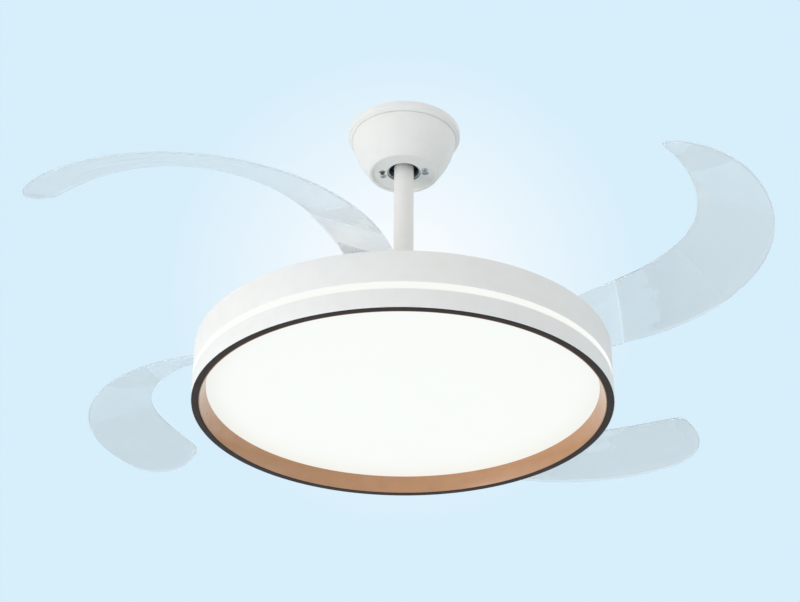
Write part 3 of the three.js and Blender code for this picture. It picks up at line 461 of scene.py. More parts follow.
painted = {"scales": {"Fine_Scale": 900.0, "Slow_Scale": 45.0}}
cast = {"scales": {"Fine_Scale": 1400.0, "Slow_Scale": 120.0}}
spangled = {"scales": {"Fine_Scale": 400.0, "Slow_Scale": 170.0}}
grained = {"scales": {"Fine_Scale": 2200.0, "Slow_Scale": 80.0}}
moulded = {**grained, "depth": 0.03}
lathed = {"group": rings}
white_paint = opaque("white_powder_paint", (247, 244, 240), (243, 240, 235), (0.52, 0.6),
                     bump=0.1, specular=0.3, **painted)
dark_rim_paint = opaque("dark_brown_rim_paint", (60, 45, 40), (53, 39, 35), (0.45, 0.55),
                        bump=0.12, dusty=0.0, specular=0.15, **painted)
bronze_paint = opaque("satin_bronze_paint", (190, 137, 95), (183, 130, 89), (0.26, 0.34),
                      bump=0.06, dusty=0.0, coat=0.5, **painted)
steel = opaque("zinc_plated_steel", (196, 198, 200), (176, 179, 183), (0.22, 0.36), 1.0,
               bump=0.12, dusty=0.08, **cast)
turned_steel = opaque("turned_steel", (188, 190, 193), (170, 172, 176), (0.18, 0.3), 1.0,
                      bump=0.25, dusty=0.05, **lathed)
galvanised = opaque("galvanised_sheet", (203, 204, 203), (184, 187, 189), (0.35, 0.52), 0.7,
                    bump=0.1, dusty=0.25, **spangled)
dark_steel = opaque("phosphated_steel", (92, 95, 99), (78, 80, 84), (0.45, 0.6), 0.8,
                    bump=0.3, dusty=0.15, **cast)
cast_metal = opaque("cast_aluminium", (204, 206, 208), (188, 190, 193), (0.4, 0.55), 0.9,
                    bump=0.4, depth=0.1, dusty=0.2, **cast)
turned_metal = opaque("turned_aluminium", (208, 209, 211), (196, 198, 200), (0.28, 0.42), 0.95,
                      bump=0.3, dusty=0.15, **lathed)
grey_moulding = opaque("grey_moulding", (206, 207, 209), (200, 201, 203), (0.45, 0.58),
                       bump=0.25, **moulded)
natural_nylon = opaque("natural_nylon", (236, 232, 220), (228, 223, 208), (0.38, 0.5),
                       bump=0.15, dusty=0.1, **moulded)
black_moulding = opaque("black_moulding", (22, 22, 24), (16, 16, 18), (0.3, 0.4),
                        bump=0.1, dusty=0.0, specular=0.25, **moulded)
board_white = opaque("white_solder_mask", (240, 240, 235), (232, 232, 226), (0.45, 0.6),
                     bump=0.1, dusty=0.0, **grained)
copper_wire = opaque("enamelled_copper", (190, 112, 62), (168, 92, 48), (0.2, 0.34), 1.0,
                     bump=0.8, depth=0.2, dusty=0.0, **lathed)
print("finishes", len(bpy.data.materials))

# %% [markdown]
# The cover is opal acrylic with the lamp on behind it, so it is bright all over and only slightly
# darker towards its edge, where less light reaches. Its light comes from the shader's emission,
# in a colour that changes with the distance from the middle, and the plain strength stays on the
# shader. The strip round the drum's side is the same acrylic, lit from its back edge.

# %% Lit acrylic


def lit_acrylic(name, middle, edge, start, end, strength):
    """Opal acrylic whose glow goes from one colour to another between two radii in mm."""
    made, tree, shader = new_material(name)
    texture = node(tree, "ShaderNodeGroup", {"node_tree": ripple}, Fine_Scale=1500.0,
                   Slow_Scale=30.0).outputs
    fade = value_range(tree, from_axis(tree)[0], start * MM, end * MM)
    feed(tree, shader, Emission_Color=mix(tree, fade, colour(*middle), colour(*edge)),
         Roughness=value_range(tree, texture["Mask"], *cloudy, 0.42, 0.5),
         Normal=bumps(tree, texture["Height"], 0.1, 0.03), Base_Color=colour(100, 101, 99),
         Emission_Strength=strength)
    return made


opal_cover = lit_acrylic("opal_cover", (251, 252, 247), (248, 248, 242), 205, 236, 0.84)
opal_strip = lit_acrylic("opal_strip", (252, 252, 247), (250, 250, 244), 242, 249.5, 0.86)

# %% [markdown]
# The blades are clear polycarbonate, which bends light with an index of 1.58. Long use and the
# moulding leave a faint grey haze in it, so a quarter of the light is scattered, and a little of
# what lies behind is let straight through by alpha. The root is clearer than the leaf. Along the
# small step between them the plastic is made almost fully clear, which is a painted highlight: the
# bright backdrop shows through there as a bright line. A mould leaves long faint flow lines, and
# they follow the blade's own map of how far along and how far across each place is. A second map
# gives the distance from the step in mm.

# %% Clear blade plastic
clear_blade, blade_tree, blade_shader = new_material("clear_polycarbonate")
blade_map = node(blade_tree, "ShaderNodeUVMap", {"uv_map": "along"}).outputs["UV"]
stretched = node(blade_tree, "ShaderNodeMapping", None, Vector=blade_map, Scale=(1.0, 5.0, 1.0))
flow = noise(blade_tree, stretched.outputs["Vector"], 1.1, 1.0, 0.4)
smear = noise(blade_tree, blade_map, 9.0, 5.0, 0.6)
step_map = node(blade_tree, "ShaderNodeUVMap", {"uv_map": "from_step"}).outputs["UV"]
from_step = node(blade_tree, "ShaderNodeSeparateXYZ", None, Vector=step_map).outputs["X"]
root_alpha, leaf_alpha, painted_highlight_share = 0.3, 0.64, 0.12
haze = value_range(blade_tree, from_step, -1.0, 1.0, root_alpha, leaf_alpha)
# Painted highlight: near the step the alpha falls to a small share, so the backdrop shows through
# as a bright line.
line = value_range(blade_tree, sum_of(blade_tree, "ABSOLUTE", from_step), 0.5, 1.4, painted_highlight_share)
feed(blade_tree, blade_shader, Roughness=value_range(blade_tree, smear, 0.35, 0.75, 0.015, 0.06),
     Normal=bumps(blade_tree, flow, 0.2, 0.8), Alpha=sum_of(blade_tree, "MULTIPLY", line, haze),
     Base_Color=colour(244, 242, 240), Transmission_Weight=0.75, IOR=1.58)

# %% [markdown]
# The arm below each root is a pale grey moulding that lets some light through, so it shows only
# faintly behind the clear leaf. A constant alpha makes it thin to the eye.

# %% Frosted arm plastic
frosted_arm = opaque("frosted_grey_moulding", (236, 238, 240), (230, 232, 235), (0.24, 0.36),
                     bump=0.1, dusty=0.0, coat=0.4, **moulded)
frosted_arm.node_tree.nodes["Principled BSDF"].inputs["Alpha"].default_value = 0.3
print("clear and frosted plastics ready")

# %% [markdown]
# ## The camera
#
# The photograph looks up at the fan from below and in front. The camera stands 1.8 m away and
# 0.9 m below the lamp, tilted up by 30 degrees, with a long lens, so the drum keeps a true shape.

# %% Camera
photo_lens = 76.77
photo_sensor = 36
camera_place = Vector((0.0, -1.8172, rise(-893.8)))
tilt_up, turn_left, roll = math.radians(29.899), math.radians(-0.125), math.radians(0.378)
forward = Vector((math.sin(turn_left) * math.cos(tilt_up),
                  math.cos(turn_left) * math.cos(tilt_up), math.sin(tilt_up)))
level_right = forward.cross(Vector((0, 0, 1))).normalized()
level_up = level_right.cross(forward)
right = math.cos(roll) * level_right + math.sin(roll) * level_up
up = -math.sin(roll) * level_right + math.cos(roll) * level_up
camera = new_object("camera", bpy.data.cameras.new("camera"))
camera.data.lens = photo_lens
camera.data.sensor_width = photo_sensor
camera.data.clip_end = 50
axes = Matrix((right, up, -forward)).transposed().to_4x4()
camera.matrix_world = Matrix.Translation(camera_place) @ axes
bpy.context.scene.camera = camera
print("camera at", [round(v, 3) for v in camera_place])

# %% [markdown]
# ## The canopy
#
# The canopy is a white steel bowl that hides the ceiling bracket. Its underside is set in behind a
# raised ring, with a round hole for the rod and two keyholes: the wide end slips over a screw's
# head and the narrow end holds it. The bowl's curve is the one of the CAD model. It is turned, and
# then the keyholes are cut through its floor.

# %% Canopy bowl
bracket_turn = -15
bowl_low, bowl_top = 338.5, 390.5
bowl_low_radius, bowl_top_radius, bowl_bulge = 44, 66.5, 1.8
canopy_wall = 1.6
canopy_floor = 341
floor_ring = 3.5
rod_hole = 21.5
screw_circle = 27.5
screw_shank = 1.7
keyhole_mouth = 4.4
keyhole_turn = 17
canopy_steps = 160


def bowl_radius(h):
    """The bowl's outer radius grows quickly at first and flattens out towards its top."""
    t = (h - bowl_low) / (bowl_top - bowl_low)
    return bowl_low_radius + (bowl_top_radius - bowl_low_radius) * (1 - (1 - t) ** bowl_bulge)


bowl_heights = bowl_low + (bowl_top - bowl_low) * np.linspace(0, 1, 25) ** 1.2
outer_wall = np.stack([bowl_radius(bowl_heights), bowl_heights], axis=1)
inner_heights = bowl_heights[bowl_heights > canopy_floor + 2 * canopy_wall][::-1]
inner_wall = np.stack([bowl_radius(inner_heights) - canopy_wall, inner_heights], axis=1)
floor_top = canopy_floor + canopy_wall
bowl_profile = [
    (rod_hole, canopy_floor), (bowl_low_radius - floor_ring, canopy_floor),
    (bowl_low_radius - floor_ring, bowl_low), *outer_wall.tolist(), *inner_wall.tolist(),
    (bowl_radius(floor_top) - canopy_wall, floor_top), (rod_hole, floor_top),
]


def keyhole_cutters():
    """Two round cutters and a bent slot between them for each screw."""
    half = screw_shank + 0.5
    cutters = []
    for side in (0, 180):
        turn = side + bracket_turn
        outlines = [ring_of_points(keyhole_mouth, 40, polar(screw_circle, turn + keyhole_turn)),
                    ring_of_points(half, 24, polar(screw_circle, turn)),
                    kidney(screw_circle - half, screw_circle + half, turn, turn + keyhole_turn, 12)]
        cutters += [raised("keyhole", [outline], canopy_floor - 1, floor_top + 1, edge=0)
                    for outline in outlines]
    return cutters


canopy_bowl = cut(turned("painted_canopy", bowl_profile, 0.7, canopy_steps), keyhole_cutters())
add_piece("painted_canopy", canopy_bowl, "ceiling_mount", white_paint,
          "canopy_bowl")
print("canopy faces", len(canopy_bowl.polygons))

# %% [markdown]
# A ring covers the joint between the bowl and the ceiling. Its lower edge is bevelled in two
# steps, so that a fine line runs round it.

# %% Trim ring
trim_inside, trim_outside, trim_low, trim_top = 63.5, 72.5, 390.8, 401.7
trim_ledge = trim_low + 1.7
trim_ring = turned("ceiling_trim", [
    (trim_inside, trim_low), (trim_outside - 4.1, trim_low), (trim_outside - 2.4, trim_ledge),
    (trim_outside - 1.6, trim_ledge), (trim_outside, trim_ledge + 1.9), (trim_outside, trim_top),
    (trim_inside, trim_top)], soft=0.5, around=canopy_steps)
add_piece("ceiling_trim", trim_ring, "ceiling_mount", white_paint,
          "canopy_trim_ring")

# %% [markdown]
# The two screws have domed heads with a cross recess. The recess is two crossed wedges with
# slanted sides, cut out of a turned head.

# %% Canopy screws
screw_head, head_top = 3.6, canopy_floor - 0.1
head_low = head_top - 2.4
shank_top = floor_top + 2.8
recess_half, recess_width, recess_deep = 1.9, 0.45, 1.7
end_taper, side_taper = 0.35, 0.7


def cross_recess(x, y, turn):
    """Two crossed wedges that taper upwards from the head's face."""
    signs = np.array([(1, 1), (1, -1), (-1, 1), (-1, -1)])
    wide = signs * [recess_half, recess_width]
    narrow = wide * [end_taper, side_taper]
    heights = np.repeat([head_low - 0.5, head_low + recess_deep], 4)
    corners = np.column_stack([np.vstack([wide, narrow]), heights]) * MM + [0, 0, lamp_rim]
    faces = [(0, 1, 3, 2), (4, 6, 7, 5), (0, 4, 5, 1), (2, 3, 7, 6), (0, 2, 6, 4), (1, 5, 7, 3)]
    wedges = []
    for quarter in (0, 90):
        wedge = bpy.data.meshes.new("recess")
        wedge.from_pydata(corners.tolist(), [], faces)
        wedges.append(shift_mesh(turn_mesh(finish_mesh(wedge), turn + quarter), x, y))
    return wedges


for label, side, recess_turn in (("right", 0, 20), ("left", 180, -25)):
    x, y = polar(screw_circle, side + bracket_turn)
    screw = turned("screw", [
        (0, head_low), (screw_head * 0.55, head_low), (screw_head * 0.88, head_low + 0.6),
        (screw_head, head_low + 1.56), (screw_head, head_top), (screw_shank, head_top),
        (screw_shank, shank_top), (0, shank_top)], soft=0.3, around=40, centre=(x, y))
    screw = cut(screw, cross_recess(x, y, recess_turn))
    add_piece("cross_screw_" + label, screw, "ceiling_mount", steel,
              "canopy_screw_" + label)

# %% [markdown]
# ## Ball, rod and yoke
#
# The rod is a white steel tube. Its top is held in a black ball that sits in a cup of the
# bracket, so the fan always hangs straight down, and its foot slips into a steel yoke on the
# motor's shaft, held by a bolt and nut.

# %% Ball, rod and yoke
ball_height, ball_radius, ball_top = 366, 22, 376
rod_radius, rod_wall, rod_low, rod_top = 12.5, 2, 155, 384
yoke_low, yoke_step, yoke_top, yoke_flange, yoke_neck = 138, 141, 195, 26, 17
shaft_hole = 10.3
ball_hole = rod_radius + 0.3
ball_from = -math.degrees(math.acos(ball_hole / ball_radius))
ball_to = math.degrees(math.asin((ball_top - ball_height) / ball_radius))
ball_curve = polar(ball_radius, np.linspace(ball_from, ball_to, 40)) + [0, ball_height]
ball_profile = [*ball_curve.tolist(), (ball_hole, ball_top)]
add_piece("black_hanger_ball", turned("black_hanger_ball", ball_profile, soft=0, around=96),
          "hanging_lamp", black_moulding, "hanger_ball")
rod_profile = rectangle(rod_radius - rod_wall, rod_radius, rod_low, rod_top)
add_piece("painted_rod", turned("painted_rod", rod_profile, 0.3, 96), "hanging_lamp", white_paint,
          "downrod")
add_piece("steel_yoke", turned("steel_yoke", [
    (shaft_hole, yoke_low), (yoke_flange, yoke_low), (yoke_flange, yoke_step),
    (yoke_neck, yoke_step + 5), (yoke_neck, yoke_top), (ball_hole, yoke_top),
    (ball_hole, rod_low - 0.3), (shaft_hole, rod_low - 0.3)], soft=1.0, around=96),
    "hanging_lamp", dark_steel, "motor_yoke")
dress(steel, "ceiling_bracket", "ball_cross_pin", "yoke_bolt", "yoke_nut")
dress(grey_moulding, "terminal_block")

# %% [markdown]
# ## The lamp
#
# The drum is two painted walls with a lit strip between them. Below them come a dark ring, a
# bronze lip that slants inwards and up, and the opal cover set up inside the lip. They are turned
# from the same heights as the CAD pieces, with soft edges, so the strip reads as a shallow groove.

# %% Drum walls, strip, rim, lip and cover
drum, drum_wall = 250, 2.5
wall_inside = drum - drum_wall
flange = wall_inside - 7
flange_thick = 1.5
strip_low, strip_top, drum_top = 23.1, 31.7, 70.5
strip_groove, strip_inside = drum - 0.5, drum - 7.5
chassis_low, chassis_top, chassis_radius = 50, 52, 245.5
bead_circle, bead_half, bead_rise = 200, 4, 3
rim_inside, rim_outside, rim_top = 241.2, drum - 0.8, 2.9
skin_inside, skin_low = drum - 0.7, 0.4
lip_foot, lip_seat, lip_inside, lip_wall = 240.9, 245.2, 233.3, 1.2
cover_low, cover_top, cover_radius, cover_wall, cover_thick = 20.4, 29.4, 238, 2, 2.4
drum_steps = 288


def lamp_piece(name, profile, finish, node_name, soft=0.5, around=drum_steps):
    add_piece(name, turned(name, profile, soft, around), "hanging_lamp", finish, node_name)


lamp_piece("drum_upper_wall", [
    (wall_inside, strip_top), (drum, strip_top), (drum, drum_top), (wall_inside, drum_top),
    (wall_inside, chassis_low), (flange, chassis_low), (flange, chassis_low - flange_thick),
    (wall_inside, chassis_low - flange_thick)],
    white_paint, "lamp_upper_shell", soft=0.7)
lamp_piece("lit_strip", rectangle(strip_inside, strip_groove, strip_low, strip_top),
           opal_strip, "light_guide_ring", soft=0.3)
lamp_piece("drum_lower_wall", [
    (wall_inside, rim_top + 0.1), (skin_inside, rim_top + 0.1), (skin_inside, skin_low),
    (drum, skin_low), (drum, strip_low), (flange, strip_low),
    (flange, strip_low - flange_thick), (wall_inside, strip_low - flange_thick)],
    white_paint, "lamp_lower_shell", soft=0.3)
lamp_piece("dark_rim", rectangle(rim_inside, rim_outside, 0, rim_top), dark_rim_paint,
           "rim_ring", soft=0.4)
lamp_piece("bronze_lip", [
    (lip_foot - lip_wall, skin_low), (lip_foot, skin_low), (lip_foot, rim_top + 0.1),
    (lip_seat, rim_top + 0.1), (lip_seat, rim_top + 0.1 + lip_wall),
    (lip_inside + 2 * lip_wall, cover_low), (lip_inside, cover_low)],
    bronze_paint, "reflector_lip", soft=0.4)
lamp_piece("opal_cover", [
    (0, cover_low), (cover_radius - 1, cover_low), (cover_radius, cover_low + 1),
    (cover_radius, cover_top), (cover_radius - cover_wall, cover_top),
    (cover_radius - cover_wall, cover_low + cover_thick), (0, cover_low + cover_thick)],
    opal_cover, "diffuser", soft=0.8)
lamp_piece("pressed_chassis", [
    (shaft_hole, chassis_low), (bead_circle - bead_half, chassis_low),
    (bead_circle, chassis_low + bead_rise), (bead_circle + bead_half, chassis_low),
    (chassis_radius, chassis_low), (chassis_radius, chassis_top),
    (bead_circle + bead_half, chassis_top), (bead_circle, chassis_top + bead_rise),
    (bead_circle - bead_half, chassis_top), (shaft_hole, chassis_top)],
    galvanised, "lamp_chassis", soft=1.6, around=240)
dress(board_white, "led_board", "side_led_strip")
dress(grey_moulding, "led_driver", "remote_receiver")
dress(turned_steel, "motor_shaft")
dress(steel, "shaft_nut")
dress(dark_steel, "stator_core", "magnet_ring")
dress(copper_wire, "stator_winding")

# %% [markdown]
# ## The motor
#
# The stator hangs still on the shaft, and the two aluminium housings spin round it. They are
# turned castings: the lower one is a cup, and the upper one a shallow dome that carries the upper
# bearing.

# %% Motor housings
motor, motor_inside, housing_bore = 80, 76, 12
bearing_seat, bearing_boss = 17.8, 22
cup_low, cup_floor, cup_top = 64.3, 68, 98
dome_low, dome_side, dome_shoulder, dome_flat, dome_top = 98.3, 112, 121, 127, 135.3


def rotor_piece(name, mesh, finish, node_name):
    add_piece(name, mesh, "rotor", finish, node_name)


rotor_piece("lower_motor_cup", turned("lower_motor_cup", [
    (housing_bore, cup_low), (motor, cup_low), (motor, cup_top), (motor_inside, cup_top),
    (motor_inside, cup_floor), (bearing_boss, cup_floor), (bearing_boss, cup_floor + 8.3),
    (bearing_seat, cup_floor + 8.3), (bearing_seat, cup_floor), (housing_bore, cup_floor)],
    soft=1.2), turned_metal, "motor_lower_housing")
rotor_piece("upper_motor_dome", turned("upper_motor_dome", [
    (motor_inside, dome_low), (motor, dome_low), (motor, dome_side), (72, dome_shoulder),
    (bearing_boss, dome_flat), (bearing_boss, dome_top), (housing_bore, dome_top),
    (housing_bore, dome_top - 3), (bearing_seat, dome_top - 3), (bearing_seat, 122.5),
    (bearing_boss, 122.5), (bearing_boss, 123.8), (motor_inside, dome_side - 0.5)], soft=2.0),
    turned_metal, "motor_upper_housing")
dress(turned_steel, "lower_bearing", "upper_bearing")

# %% [markdown]
# ## The carrier and its gears
#
# The carrier is a cast plate with four ears, one for each blade's pivot, and four kidney-shaped
# windows that save weight. Its outline is a formula: at each angle, the larger of the disc's
# radius and the distance to the far side of the nearest ear.

# %% Blade carrier
pivot_circle = 192
park_turn = -13
carrier_low, carrier_top = 60, 64
carrier_disc, carrier_bore, ear = 176, 30, 30
pivot_bore = 5.3
window_inside, window_outside, window_from, window_to = 112, 160, 23, 67
pivot_angles = park_turn - 90 * np.arange(4)


def carrier_outline(count=720):
    """The larger of the disc's radius and the far side of an ear, at each angle."""
    angle = np.linspace(0, 360, count, endpoint=False)
    off = np.radians((angle + 45) % 90 - 45)
    inside = ear ** 2 - (pivot_circle * np.sin(off)) ** 2
    ear_reach = pivot_circle * np.cos(off) + np.sqrt(np.maximum(inside, 0))
    return polar(np.where(inside > 0, np.maximum(ear_reach, carrier_disc), carrier_disc), angle)


spring_posts = (20, 200)
spring_circle, spring_spread = 112, 50
spring_post, spring_post_top = 2.5, 78.5
carrier_holes = [ring_of_points(carrier_bore, 96)]
for quarter in range(4):
    carrier_holes.append(ring_of_points(pivot_bore, 32, polar(pivot_circle, 90 * quarter)))
    carrier_holes.append(kidney(window_inside, window_outside, 90 * quarter + window_from,
                                90 * quarter + window_to, 28))
carrier_shells = [raised("plate", [carrier_outline(), *carrier_holes], carrier_low, carrier_top,
                         edge=0.6)]
print("carrier holes", len(carrier_holes))

# %% [markdown]
# Two round stop posts stand beside each pivot and end the blade's swing, and two more posts hold
# the return springs. They are turned pins joined to the plate.

# %% Carrier posts
gear_module, pinion_teeth, sun_teeth, pressure = 4, 16, 80, 20
gear_low, gear_top = 64.4, 71.4
pinion_step = 360 / pinion_teeth
sector_from, sector_to = 180 - 1.5 * pinion_step, 180 + 5.5 * pinion_step
fold = 98
stop_reach, stop_radius = 20, 3
stop_angle = math.degrees(math.asin((stop_radius + 0.3) / stop_reach))


def post(x, y, radius, low, top):
    return turned("post", rectangle(0, radius, low, top), around=32, centre=(x, y))


for quarter in range(4):
    for angle in (sector_to + stop_angle, sector_from - fold - stop_angle):
        at = polar(stop_reach, angle) + [pivot_circle, 0]
        stop = post(*at, stop_radius, carrier_top - 1, gear_top)
        carrier_shells.append(turn_mesh(stop, 90 * quarter))
for angle in spring_posts:
    carrier_shells.append(post(*polar(spring_circle, angle), spring_post, carrier_top - 1,
                               spring_post_top))
carrier_mesh = turn_mesh(join_meshes("cast_carrier", carrier_shells), park_turn)
rotor_piece("cast_carrier", carrier_mesh, cast_metal, "blade_carrier")

# %% [markdown]
# The synchronising gear is what makes the four blades move as one. It has involute teeth only
# where a pinion rolls on it. An involute is the path of the end of a string unwound from a round
# base, and the angle that a tooth takes shrinks as the radius grows by the function
# inv(a) = tan(a) - a.

# %% Gear teeth
backlash = 0.5
root_depth = 1.25 * gear_module
pinion_hub, ring_bore, slot_half, slot_spare = 14, 88, 3.1, 3.5
keeper_inside, keeper_fit, keeper_edge = 81, 87.6, 94


def tooth_half(teeth, radius):
    """Half the angle of a tooth in degrees: its half at the pitch circle, less inv(angle)."""
    pitch = gear_module * teeth / 2
    base = pitch * math.cos(math.radians(pressure))
    slant = np.arccos(np.minimum(1, base / np.maximum(radius, base)))
    flat = math.radians(pressure)
    on_pitch = math.pi / 2 / teeth - backlash / 4 / pitch
    return np.degrees(on_pitch + (math.tan(flat) - flat) - (np.tan(slant) - slant))


def tooth(teeth, middle):
    """One tooth from root to root: up one flank, over the tip and down the other."""
    pitch = gear_module * teeth / 2
    root, tip = pitch - root_depth, pitch + gear_module
    base = pitch * math.cos(math.radians(pressure))
    radii = np.linspace(max(base, root), tip, 7)
    half = tooth_half(teeth, radii)
    flank = np.vstack([polar(radii, middle - half), polar(radii[::-1], middle + half[::-1])])
    if base > root:
        flank = np.vstack([polar(root, [middle - half[0]]), flank, polar(root, [middle + half[0]])])
    return flank


def sun_outline():
    """Seven teeth at each of the four pinions, with the root circle between them."""
    root = gear_module * sun_teeth / 2 - root_depth
    step = 360 / sun_teeth
    parts = []
    for quarter in range(4):
        middle = 90 * quarter
        parts += [tooth(sun_teeth, middle + (t + 0.5) * step) for t in range(-6, 1)]
        parts.append(polar(root, np.linspace(middle + step, middle + 90 - 6 * step, 40)))
    return np.vstack(parts)


def pinion_outline():
    """A toothed sector on the side of the ring, with a plain hub on the other."""
    root = gear_module * pinion_teeth / 2 - root_depth
    parts = [polar(root, [sector_from])]
    parts += [tooth(pinion_teeth, 180 + k * pinion_step) for k in range(-1, 6)]
    hub = polar(pinion_hub, np.linspace(sector_to, sector_from + 360, 40))
    parts += [polar(root, [sector_to]), hub]
    return np.vstack(parts)


gear_turn = fold * pinion_teeth / sun_teeth
slot_slack = math.degrees(slot_spare / spring_circle)
sun_holes = [ring_of_points(ring_bore, 160)] + [
    kidney(spring_circle - slot_half, spring_circle + slot_half,
           angle - gear_turn - slot_slack, angle + slot_slack) for angle in spring_posts]
sun_shells = [raised("sun", [sun_outline(), *sun_holes], gear_low, gear_top, edge=0.3)]
for angle in spring_posts:
    sun_shells.append(post(*polar(spring_circle, angle - spring_spread), spring_post,
                           gear_top - 1, spring_post_top))
sun_mesh = turn_mesh(join_meshes("toothed_ring", sun_shells), park_turn)
add_piece("toothed_ring", sun_mesh, "sync_ring", natural_nylon, "sync_gear")
rotor_piece("ring_keeper", turned("ring_keeper", [
    (keeper_inside, cup_low), (keeper_fit, cup_low), (keeper_fit, gear_top + 0.4),
    (keeper_edge, gear_top + 0.4), (keeper_edge, gear_top + 3), (keeper_inside, gear_top + 3)],
    soft=0.4),
    natural_nylon, "sync_gear_keeper")
print("gear faces", len(sun_mesh.polygons))

# %% [markdown]
# Each return spring is one wire: a hook round the post, a helix, and a hook round the peg. The
# helix turns about the line between the two, at an even pitch.

# %% Return springs
spring_wire, spring_radius, spring_turns, spring_height = 0.45, 2.6, 9, 76


def spring_path(angle):
    """Hook, helix and hook, first along a straight line and then laid between post and peg."""
    post_at, peg_at = polar(spring_circle, angle), polar(spring_circle, angle - spring_spread)
    length = float(np.linalg.norm(peg_at - post_at))
    hook = spring_post + 0.3 + spring_wire
    lead = hook + 4
    first, last = np.linspace(100, 340, 19), np.linspace(200, 440, 19)
    t = np.linspace(0, 1, spring_turns * 20 + 1)
    turn = 2 * np.pi * spring_turns * t
    start = np.column_stack([polar(hook, first), np.zeros(19)])
    coil = np.column_stack([lead + (length - 2 * lead) * t, -spring_radius * np.cos(turn),
                            spring_radius * np.sin(turn)])
    end = np.column_stack([polar(hook, last) + [length, 0], np.zeros(19)])
    line = np.vstack([start, coil, end])
    along = (peg_at - post_at) / length
    side = np.array([-along[1], along[0]])
    flat = post_at + line[:, :1] * along + line[:, 1:2] * side
    return np.column_stack([flat, spring_height + line[:, 2]])


for number, angle in enumerate(spring_posts, 1):
    coil_mesh = turn_mesh(bar("coiled_spring", spring_path(angle), spring_wire, 8), park_turn)
    rotor_piece(f"coiled_spring_{number}", coil_mesh, turned_steel,
                f"return_spring_{number}")

# %% [markdown]
# ## The blades
#
# A blade is a clear curved leaf, seen from above a wide arc. A place on it is given by how far
# along the arc it is, in degrees, and how far inwards from the outer edge. The leaf climbs along
# the arc and also towards its inner edge, so each blade passes over the next when they fold. The
# section is a flat bar with round edges, the root is thicker below as far as a curved step, and
# the two edges meet in a round tip.

# %% Blade surface
blade_arc, pivot_along = 230.7, 10.1
blade_start, blade_tip, tip_start = -9, 152.5, 130
tip_point, tip_fullness = 0.75, 2.4
blade_thick, root_extra = 2.4, 2.4
edge_height, climb, slope, slope_gain = 79.6, 9.0, 0.45, 0.032
width_places = np.array([-9, 0, 30, 60, 90, 120, 145], float)
width_values = np.array([48.5, 56.7, 79.2, 82.6, 79.6, 78, 70])
step_from, step_slant, step_bow, step_length = 28.3, 6.2, 0.2, 1.3
arc_centre = polar(pivot_circle, 180 + fold)


def blade_width(s):
    """A smooth curve through the listed widths, with the neighbours' slope at each of them."""
    places, values = width_places, width_values
    slopes = np.empty_like(values)
    slopes[1:-1] = (values[2:] - values[:-2]) / (places[2:] - places[:-2])
    slopes[0] = (values[1] - values[0]) / (places[1] - places[0])
    slopes[-1] = (values[-1] - values[-2]) / (places[-1] - places[-2])
    k = np.clip(np.searchsorted(places, s, side="right") - 1, 0, len(places) - 2)
    span = places[k + 1] - places[k]
    t = np.clip((s - places[k]) / span, 0, 1)
    return ((2 * t ** 3 - 3 * t ** 2 + 1) * values[k] + (t ** 3 - 2 * t ** 2 + t) * slopes[k] * span
            + (-2 * t ** 3 + 3 * t ** 2) * values[k + 1] + (t ** 3 - t ** 2) * slopes[k + 1] * span)


def blade_points(s, inwards, lift):
    """The place in mm beside the pivot, with lift added to the middle surface's height."""
    flat = arc_centre + polar(blade_arc - inwards, fold - (s - pivot_along))
    height = edge_height + climb * s / 100 + (slope + slope_gain * s / 100) * inwards + lift
    return np.concatenate([flat, height[..., None]], axis=-1)


def section(count=40, round_part=14):
    """A flat bar's outline: across (0 to 1), mm in from the edge, and up (-1 to 1)."""
    across = np.linspace(0, 1, count)
    half_turn = np.radians(np.linspace(90, -90, round_part))[1:-1]
    top = np.column_stack([across, np.zeros(count), np.ones(count)])
    inner = np.column_stack([np.ones_like(half_turn), np.cos(half_turn), np.sin(half_turn)])
    under = np.column_stack([across[::-1], np.zeros(count), -np.ones(count)])
    outer = np.column_stack([np.zeros_like(half_turn), -np.cos(half_turn), -np.sin(half_turn)])
    return np.vstack([top, inner, under, outer]).T


def blade_mesh(name):
    """Rows along the arc, each the section between the blade's two edges at that place."""
    across, bulge, up_down = section()
    step_at = step_from + step_slant * across - step_bow * np.sin(np.pi * across)
    root_rows, step_rows, leaf_rows, tip_rows = (
        np.linspace(0, 1, rows)[:, None] for rows in (26, 5, 90, 26))
    root = blade_start + (step_at - blade_start) * root_rows
    step = step_at + step_length * step_rows[1:]
    leaf = step_at + step_length + (tip_start - step_at - step_length) * leaf_rows[1:]
    tip = tip_start + (blade_tip - tip_start) * np.sin(np.pi / 2 * tip_rows[1:])
    s = np.vstack([root, step, leaf, np.broadcast_to(tip, (len(tip), len(across)))])
    thick_root = np.zeros(len(s))
    thick_root[:len(root)] = 1
    thick_root[len(root):len(root) + len(step)] = 1 - step_rows[1:, 0]
    width = blade_width(s)
    t = np.clip((s - tip_start) / (blade_tip - tip_start), 0, 1)
    round_end = np.maximum(1 - t ** tip_fullness, 1e-6) ** (1 / tip_fullness)
    outer = width * tip_point * (1 - round_end)
    inner = width * (tip_point + (1 - tip_point) * round_end)
    edge = np.minimum(blade_thick / 2, (inner - outer) / 2)
    inwards = outer + edge + (inner - outer - 2 * edge) * across + edge * bulge
    lift = blade_thick / 2 * up_down
    smooth_step = 0.5 - 0.5 * np.cos(np.pi * thick_root)
    lift = lift - np.where(up_down < 0, -up_down, 0) * root_extra * smooth_step[:, None]
    points = blade_points(s, inwards, lift)
    mesh = grid_mesh(name, points * MM, False, True, caps=True)
    corner = np.empty(len(mesh.loops), dtype=np.int32)
    mesh.loops.foreach_get("vertex_index", corner)
    past_step = np.radians(s - step_at - step_length / 2) * blade_arc
    maps = {"along": (s / 30, inwards / 100), "from_step": (past_step, np.zeros_like(s))}
    for label, (u, v) in maps.items():
        uv = np.stack([u, v], axis=-1).reshape(-1, 2)
        mesh.uv_layers.new(name=label).data.foreach_set("uv", uv[corner].ravel())
    mesh.transform(Matrix.Translation((0, 0, lamp_rim)))
    return finish_mesh(mesh, sharp=40)


